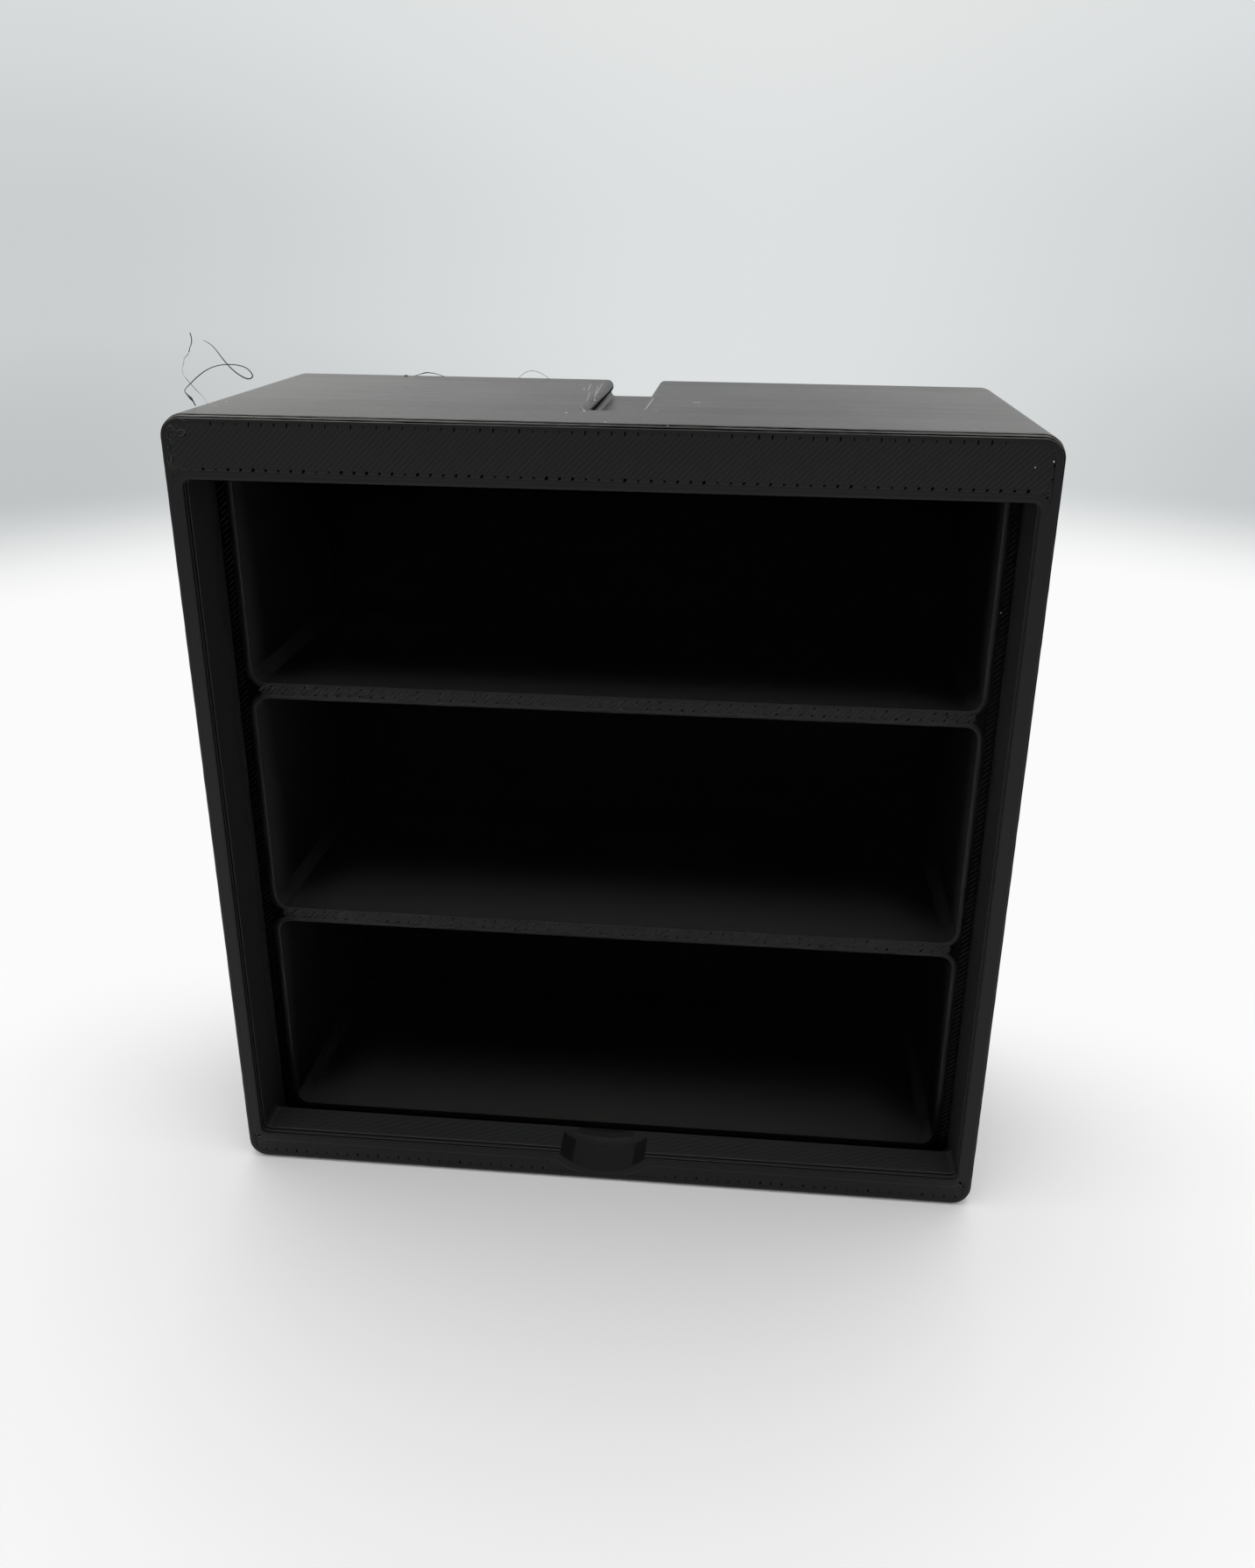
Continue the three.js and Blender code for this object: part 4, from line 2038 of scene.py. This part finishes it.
REAR_STRANDS = (
    Strand(18.8, (
        (-28.8, 93.34, 0.03), (-27.94, 93.6, 0.035), (-27.25, 93.8, 0.07), (-26.95, 93.83, 0.06),
        (-26.22, 93.79, 0.045), (-25.51, 93.64, 0.035), (-24.6, 93.34, 0.03),
    )),
    Strand(18.8, (
        (-15.15, 93.34, 0.02), (-14.6, 93.86, 0.024), (-14.03, 94.21, 0.024), (-13.32, 94.36, 0.024),
        (-12.48, 94.2, 0.024), (-11.65, 93.78, 0.024), (-11.1, 93.34, 0.02),
    )),
)
FLECKS = (
    Fleck((-29.6, 18.2, 93.42), (0.6, 0.4, 0.28), Tone.DARK),
    Fleck((-26.4, 6.6, 93.4), (0.3, 0.5, 0.06), Tone.DARK),
    Fleck((-42.06, -8.93, 93.4), (0.22, 0.3, 0.08)),
    Fleck((-41.86, -12.31, 93.4), (0.18, 0.3, 0.06)),
    Fleck((-5.32, 8.84, 93.4), (0.25, 0.5, 0.08)),
    Fleck((-2.78, -1.13, 93.4), (0.2, 0.5, 0.08)),
    Fleck((-2.81, -9.84, 93.4), (0.25, 0.5, 0.06)),
    Fleck((-4.47, -11.57, 93.4), (0.25, 0.4, 0.05)),
    Fleck((0.35, -17.46, 93.4), (0.25, 0.3, 0.05)),
    Fleck((6.65, -18.6, 93.35), (0.15, 0.2, 0.06)),
    Fleck((8.9, -1.3, 93.4), (0.3, 0.4, 0.05)),
    Fleck((42.31, -19.1, 90.29), (0.12, 0.08, 0.12)),
    Fleck((44.0, -19.1, 90.9), (0.16, 0.08, 0.16)),
    Fleck((43.33, -17.7, 77.39), (0.06, 0.25, 0.25)),
    Fleck((42.33, -11.3, 73.29), (0.15, 0.08, 0.15)),
)


@dataclass
class LooseThreads:
    """Threads of plastic that the nozzle pulled, crumbs, flecks of dust and scratches, with one painted
    highlight on the roof, as one piece.
    """

    shop: Workshop
    thickness: float = 1.18
    front_level: float = -19.1
    roof_level: float = 93.4

    def strands(self) -> list[Strand]:
        """Gathers all threads and scratches, in order.

        Returns:
            The threads.
        """
        scratches = [Strand(self.front_level, points, Tone.GREY) for points in SCRATCHES]
        marks = [Strand(self.roof_level, points, Tone.PALE, True) for points in ROOF_MARKS]
        return [*CORNER_STRANDS, *scratches, *marks, *REAR_STRANDS]

    def tube(self, strand: Strand) -> bpy.types.Mesh:
        """Makes a thin tube along a strand.

        Args:
            strand: The strand.

        Returns:
            The tube.
        """
        curve = bpy.data.curves.new("thread", "CURVE")
        curve.dimensions = "3D"
        curve.bevel_depth = MM
        curve.bevel_resolution = 1
        curve.use_fill_caps = True
        curve.resolution_u = 6
        spline = curve.splines.new("NURBS")
        spline.points.add(len(strand.points) - 1)
        for place, (across, other, radius) in zip(spline.points, strand.points):
            place.co = strand.place(across, other)
            place.radius = radius * self.thickness
        spline.use_endpoint_u = True
        spline.order_u = 3
        source = new_object("thread", curve)
        mesh = evaluated_mesh(source)
        bpy.data.objects.remove(source)
        return mesh

    def ball(self, fleck: Fleck) -> bpy.types.Mesh:
        """Makes a small lump with uneven sides.

        Args:
            fleck: The fleck.

        Returns:
            The lump.
        """
        shape = bmesh.new()
        size = Matrix.Diagonal(Vector(fleck.size) * 0.5 * MM).to_4x4()
        place = Matrix.Translation(Vector(fleck.middle) * MM)
        bmesh.ops.create_icosphere(shape, subdivisions=2, radius=1, matrix=place @ size)
        return to_mesh("fleck", shape)

    def build(self) -> bpy.types.Object:
        """Makes all threads and flecks as one piece.

        Returns:
            The piece.
        """
        parts = [(self.tube(strand), strand.tone) for strand in self.strands()]
        parts += [(self.ball(fleck), fleck.tone) for fleck in FLECKS]
        shape = bmesh.new()
        for mesh, tone in parts:
            before = len(shape.faces)
            shape.from_mesh(mesh)
            shape.faces.ensure_lookup_table()
            for face in shape.faces[before:]:
                face.material_index = tone.value
                face.smooth = True
        whole = to_mesh("loose_threads", shape)
        for name, finish in THREAD_FINISHES.items():
            whole.materials.append(finish.material(name, self.shop))
        piece = new_object("loose_threads", whole)
        ride_case(piece)
        return piece


@dataclass(frozen=True)
class Room:
    """Pale floor, pale surroundings and soft light."""

    floor_half: float = 4000
    near_colour: Colour = (0.96, 0.96, 0.96, 1)
    back_glow: Colour = (0.965, 0.965, 0.965, 1)
    middle_edge: Colour = (0.53, 0.555, 0.565, 1)
    far_edge: Colour = (0.595, 0.62, 0.63, 1)
    far_middle: Colour = (0.73, 0.75, 0.755, 1)
    high_edge: Colour = (0.70, 0.72, 0.725, 1)
    high_middle: Colour = (0.77, 0.785, 0.785, 1)
    pool: Point = (300, 482)
    pool_side: float = 25
    pale_from: Point = (450, 1400)
    hump_setback: float = 150
    hump_width: float = 0.55
    glow: Point = (-8, 32)
    sky_rise: float = 0.17
    light_rise: Point = (0.1, 0.9)
    light_levels: Point = (0.3, 1.25)
    lamp_power: float = 1.3
    lamp_size: float = 900
    lamp_place: Place = (0, 350, 900)
    lamp_tilt: float = -21

    def build(self) -> None:
        """Makes the floor, the world and the lamp."""
        self.floor()
        self.world()
        self.lamp()

    def floor(self) -> None:
        """Large floor, with a painted pool of light that glows white round the case and behind it, and pale
        grey far away.
        """
        half = self.floor_half * MM
        shape = bmesh.new()
        sides = [(-half, -half, 0), (half, -half, 0), (half, half, 0), (-half, half, 0)]
        shape.faces.new([shape.verts.new(corner) for corner in sides])
        mesh = to_mesh("floor", shape)
        material, wiring, shader = bare_material("pale_floor")
        wiring.feed_all(shader, Base_Color=self.near_colour, Roughness=0.9, Specular_IOR_Level=0.0)
        place = wiring.place()
        inputs = {"Vector": place, "Vector_001": (self.pool_side * MM, 0, 0)}
        reach = wiring.take("ShaderNodeVectorMath", inputs, "Value", operation="DISTANCE")
        far = wiring.ramp(reach, *(distance * MM for distance in self.pool))
        across, along, _ = wiring.split(place)
        middle = self.hump(wiring, across, along + self.hump_setback * MM)
        paler = wiring.ramp(reach, *(distance * MM for distance in self.pale_from))
        edge = wiring.mix_colour(paler, self.middle_edge, self.far_edge)
        colour = wiring.mix_colour(middle, edge, self.far_middle)
        colour = wiring.mix_colour(far, self.back_glow, colour)
        # For what the camera sees the floor glows white round the case and behind it: a painted pool of
        # light, which leaves no shadow behind the case.
        glow = wiring.take("ShaderNodeEmission", {"Color": colour})
        behind = wiring.ramp(along, *(distance * MM for distance in self.glow))
        share = wiring.seen() * behind.math("MAXIMUM", far)
        leave = material.node_tree.nodes["Material Output"]
        wiring.blend(share, Signal(wiring, shader.outputs[0]), glow, leave)
        mesh.materials.append(material)
        new_object("floor", mesh)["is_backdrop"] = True

    def world(self) -> None:
        """Plain soft light, most of it from above, and a pale sky for what is seen."""
        world = bpy.data.worlds.new("surroundings")
        world.use_nodes = True
        bpy.context.scene.world = world
        wiring = Wiring(world.node_tree)
        direction = wiring.take("ShaderNodeTexCoord", output="Generated")
        across, along, up = wiring.split(direction)
        light = world.node_tree.nodes["Background"]
        strength = wiring.ramp(up, *self.light_rise, *self.light_levels)
        wiring.feed_all(light, Color=(1, 1, 1, 1), Strength=strength)
        rise = wiring.ramp(up, 0.0, self.sky_rise)
        edge = wiring.mix_colour(rise, self.far_edge, self.high_edge)
        centre = wiring.mix_colour(rise, self.far_middle, self.high_middle)
        colour = wiring.mix_colour(self.hump(wiring, across, along), edge, centre)
        sky = wiring.take("ShaderNodeBackground", {"Color": colour, "Strength": 1.0})
        leave = world.node_tree.nodes["World Output"]
        wiring.blend(wiring.seen(), Signal(wiring, light.outputs[0]), sky, leave)

    def hump(self, wiring: Wiring, across: Signal, along: Signal) -> Signal:
        """Share of the paler middle, from 1 straight behind the case to 0 at the sides.

        Args:
            wiring: The nodes that work it out.
            across: Place or direction, left to right.
            along: Place or direction, front to back.

        Returns:
            The share.
        """
        slant = abs(across / along.math("MAXIMUM", MM))
        share = wiring.ramp(slant, 0.0, self.hump_width, 1.0, 0.0)
        return share * along.math("GREATER_THAN", MM)

    def lamp(self) -> None:
        """Large soft lamp above and a little behind."""
        light = bpy.data.lights.new("soft_lamp", "AREA")
        light.shape = "SQUARE"
        light.size = self.lamp_size * MM
        light.energy = self.lamp_power
        lamp = new_object("soft_lamp", light)
        lamp.location = Vector(self.lamp_place) * MM
        lamp.rotation_euler = (math.radians(self.lamp_tilt), 0, 0)


@dataclass(frozen=True)
class PhotoCamera:
    """The photograph's camera, solved from the outline of the case."""

    place: Place = (14.931, -141.061, 111.516)
    turned: Place = (69.3248, -0.6324, 4.88)
    focal_pixels: float = 1408.75
    centre_pixels: Point = (739.65, 792.17)
    sensor: float = 36
    reach: Point = (5, 20000)

    def build(self) -> None:
        """Makes the camera and sets it as the scene's."""
        camera = bpy.data.cameras.new("photo_camera")
        camera.sensor_fit = "AUTO"
        camera.sensor_width = self.sensor
        camera.lens = self.focal_pixels / PHOTO_HEIGHT * self.sensor
        camera.shift_x = (PHOTO_WIDTH / 2 - self.centre_pixels[0]) / PHOTO_HEIGHT
        camera.shift_y = (self.centre_pixels[1] - PHOTO_HEIGHT / 2) / PHOTO_HEIGHT
        camera.clip_start, camera.clip_end = (distance * MM for distance in self.reach)
        holder = new_object("photo_camera", camera)
        holder.location = Vector(self.place) * MM
        holder.rotation_euler = [math.radians(angle) for angle in self.turned]
        bpy.context.scene.camera = holder


def furnish() -> Workshop:
    """Builds the shared groups and trees.

    Returns:
        The workshop that holds them.
    """
    return Workshop(
        layers=Ridges("layer_lines", pitch=0.2 * MM, ripple=90.0, roundness=2),
        flat_rows=FlatRidges("flat_rows", pitch=0.44 * MM, ripple=120.0, roundness=4),
        wear=Wear(), loops=LoopRecipe(), rows=RowRecipe(), pits=PitRecipe(), ticks=TickRecipe(),
    )


def read_sizes() -> CaseSizes:
    """Reads the overall sizes of the case from the frame.

    Returns:
        The sizes.
    """
    low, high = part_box("case_body")
    span = (high - low) / MM
    return CaseSizes(width=span.x, depth=span.y, height=span.z)


def corners(box: tuple[Vector, Vector]) -> list[list[float]]:
    """A box as plain lists of numbers."""
    return [list(box[0]), list(box[1])]


def main() -> None:
    """Builds the case, its pane, its loose threads and the room round them."""
    logging.basicConfig(level=logging.INFO, format="%(name)s: %(message)s")
    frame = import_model()
    cad_box = corners(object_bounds())
    bpy.context.scene.view_settings.view_transform = "Standard"
    shop = furnish()
    sizes = read_sizes()
    case = PrintedCase(sizes, Print(), Limits(), shop)
    threads = LooseThreads(shop)
    for build in (case.shell, case.rim_lines, case.ledge_lines, threads.build):
        piece = build()
        LOG.info("%s: %d faces", piece.name, len(piece.data.polygons))
    pane = frame["nodes"]["front_pane"]
    pane.data.materials.clear()
    pane.data.materials.append(ClearSheet().material("clear_sheet", shop))
    LOG.info("%s: clear sheet", pane.name)
    Room().build()
    PhotoCamera().build()
    {"cad": cad_box, "visual": corners(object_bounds())}


if __name__ == "__main__":
    main()
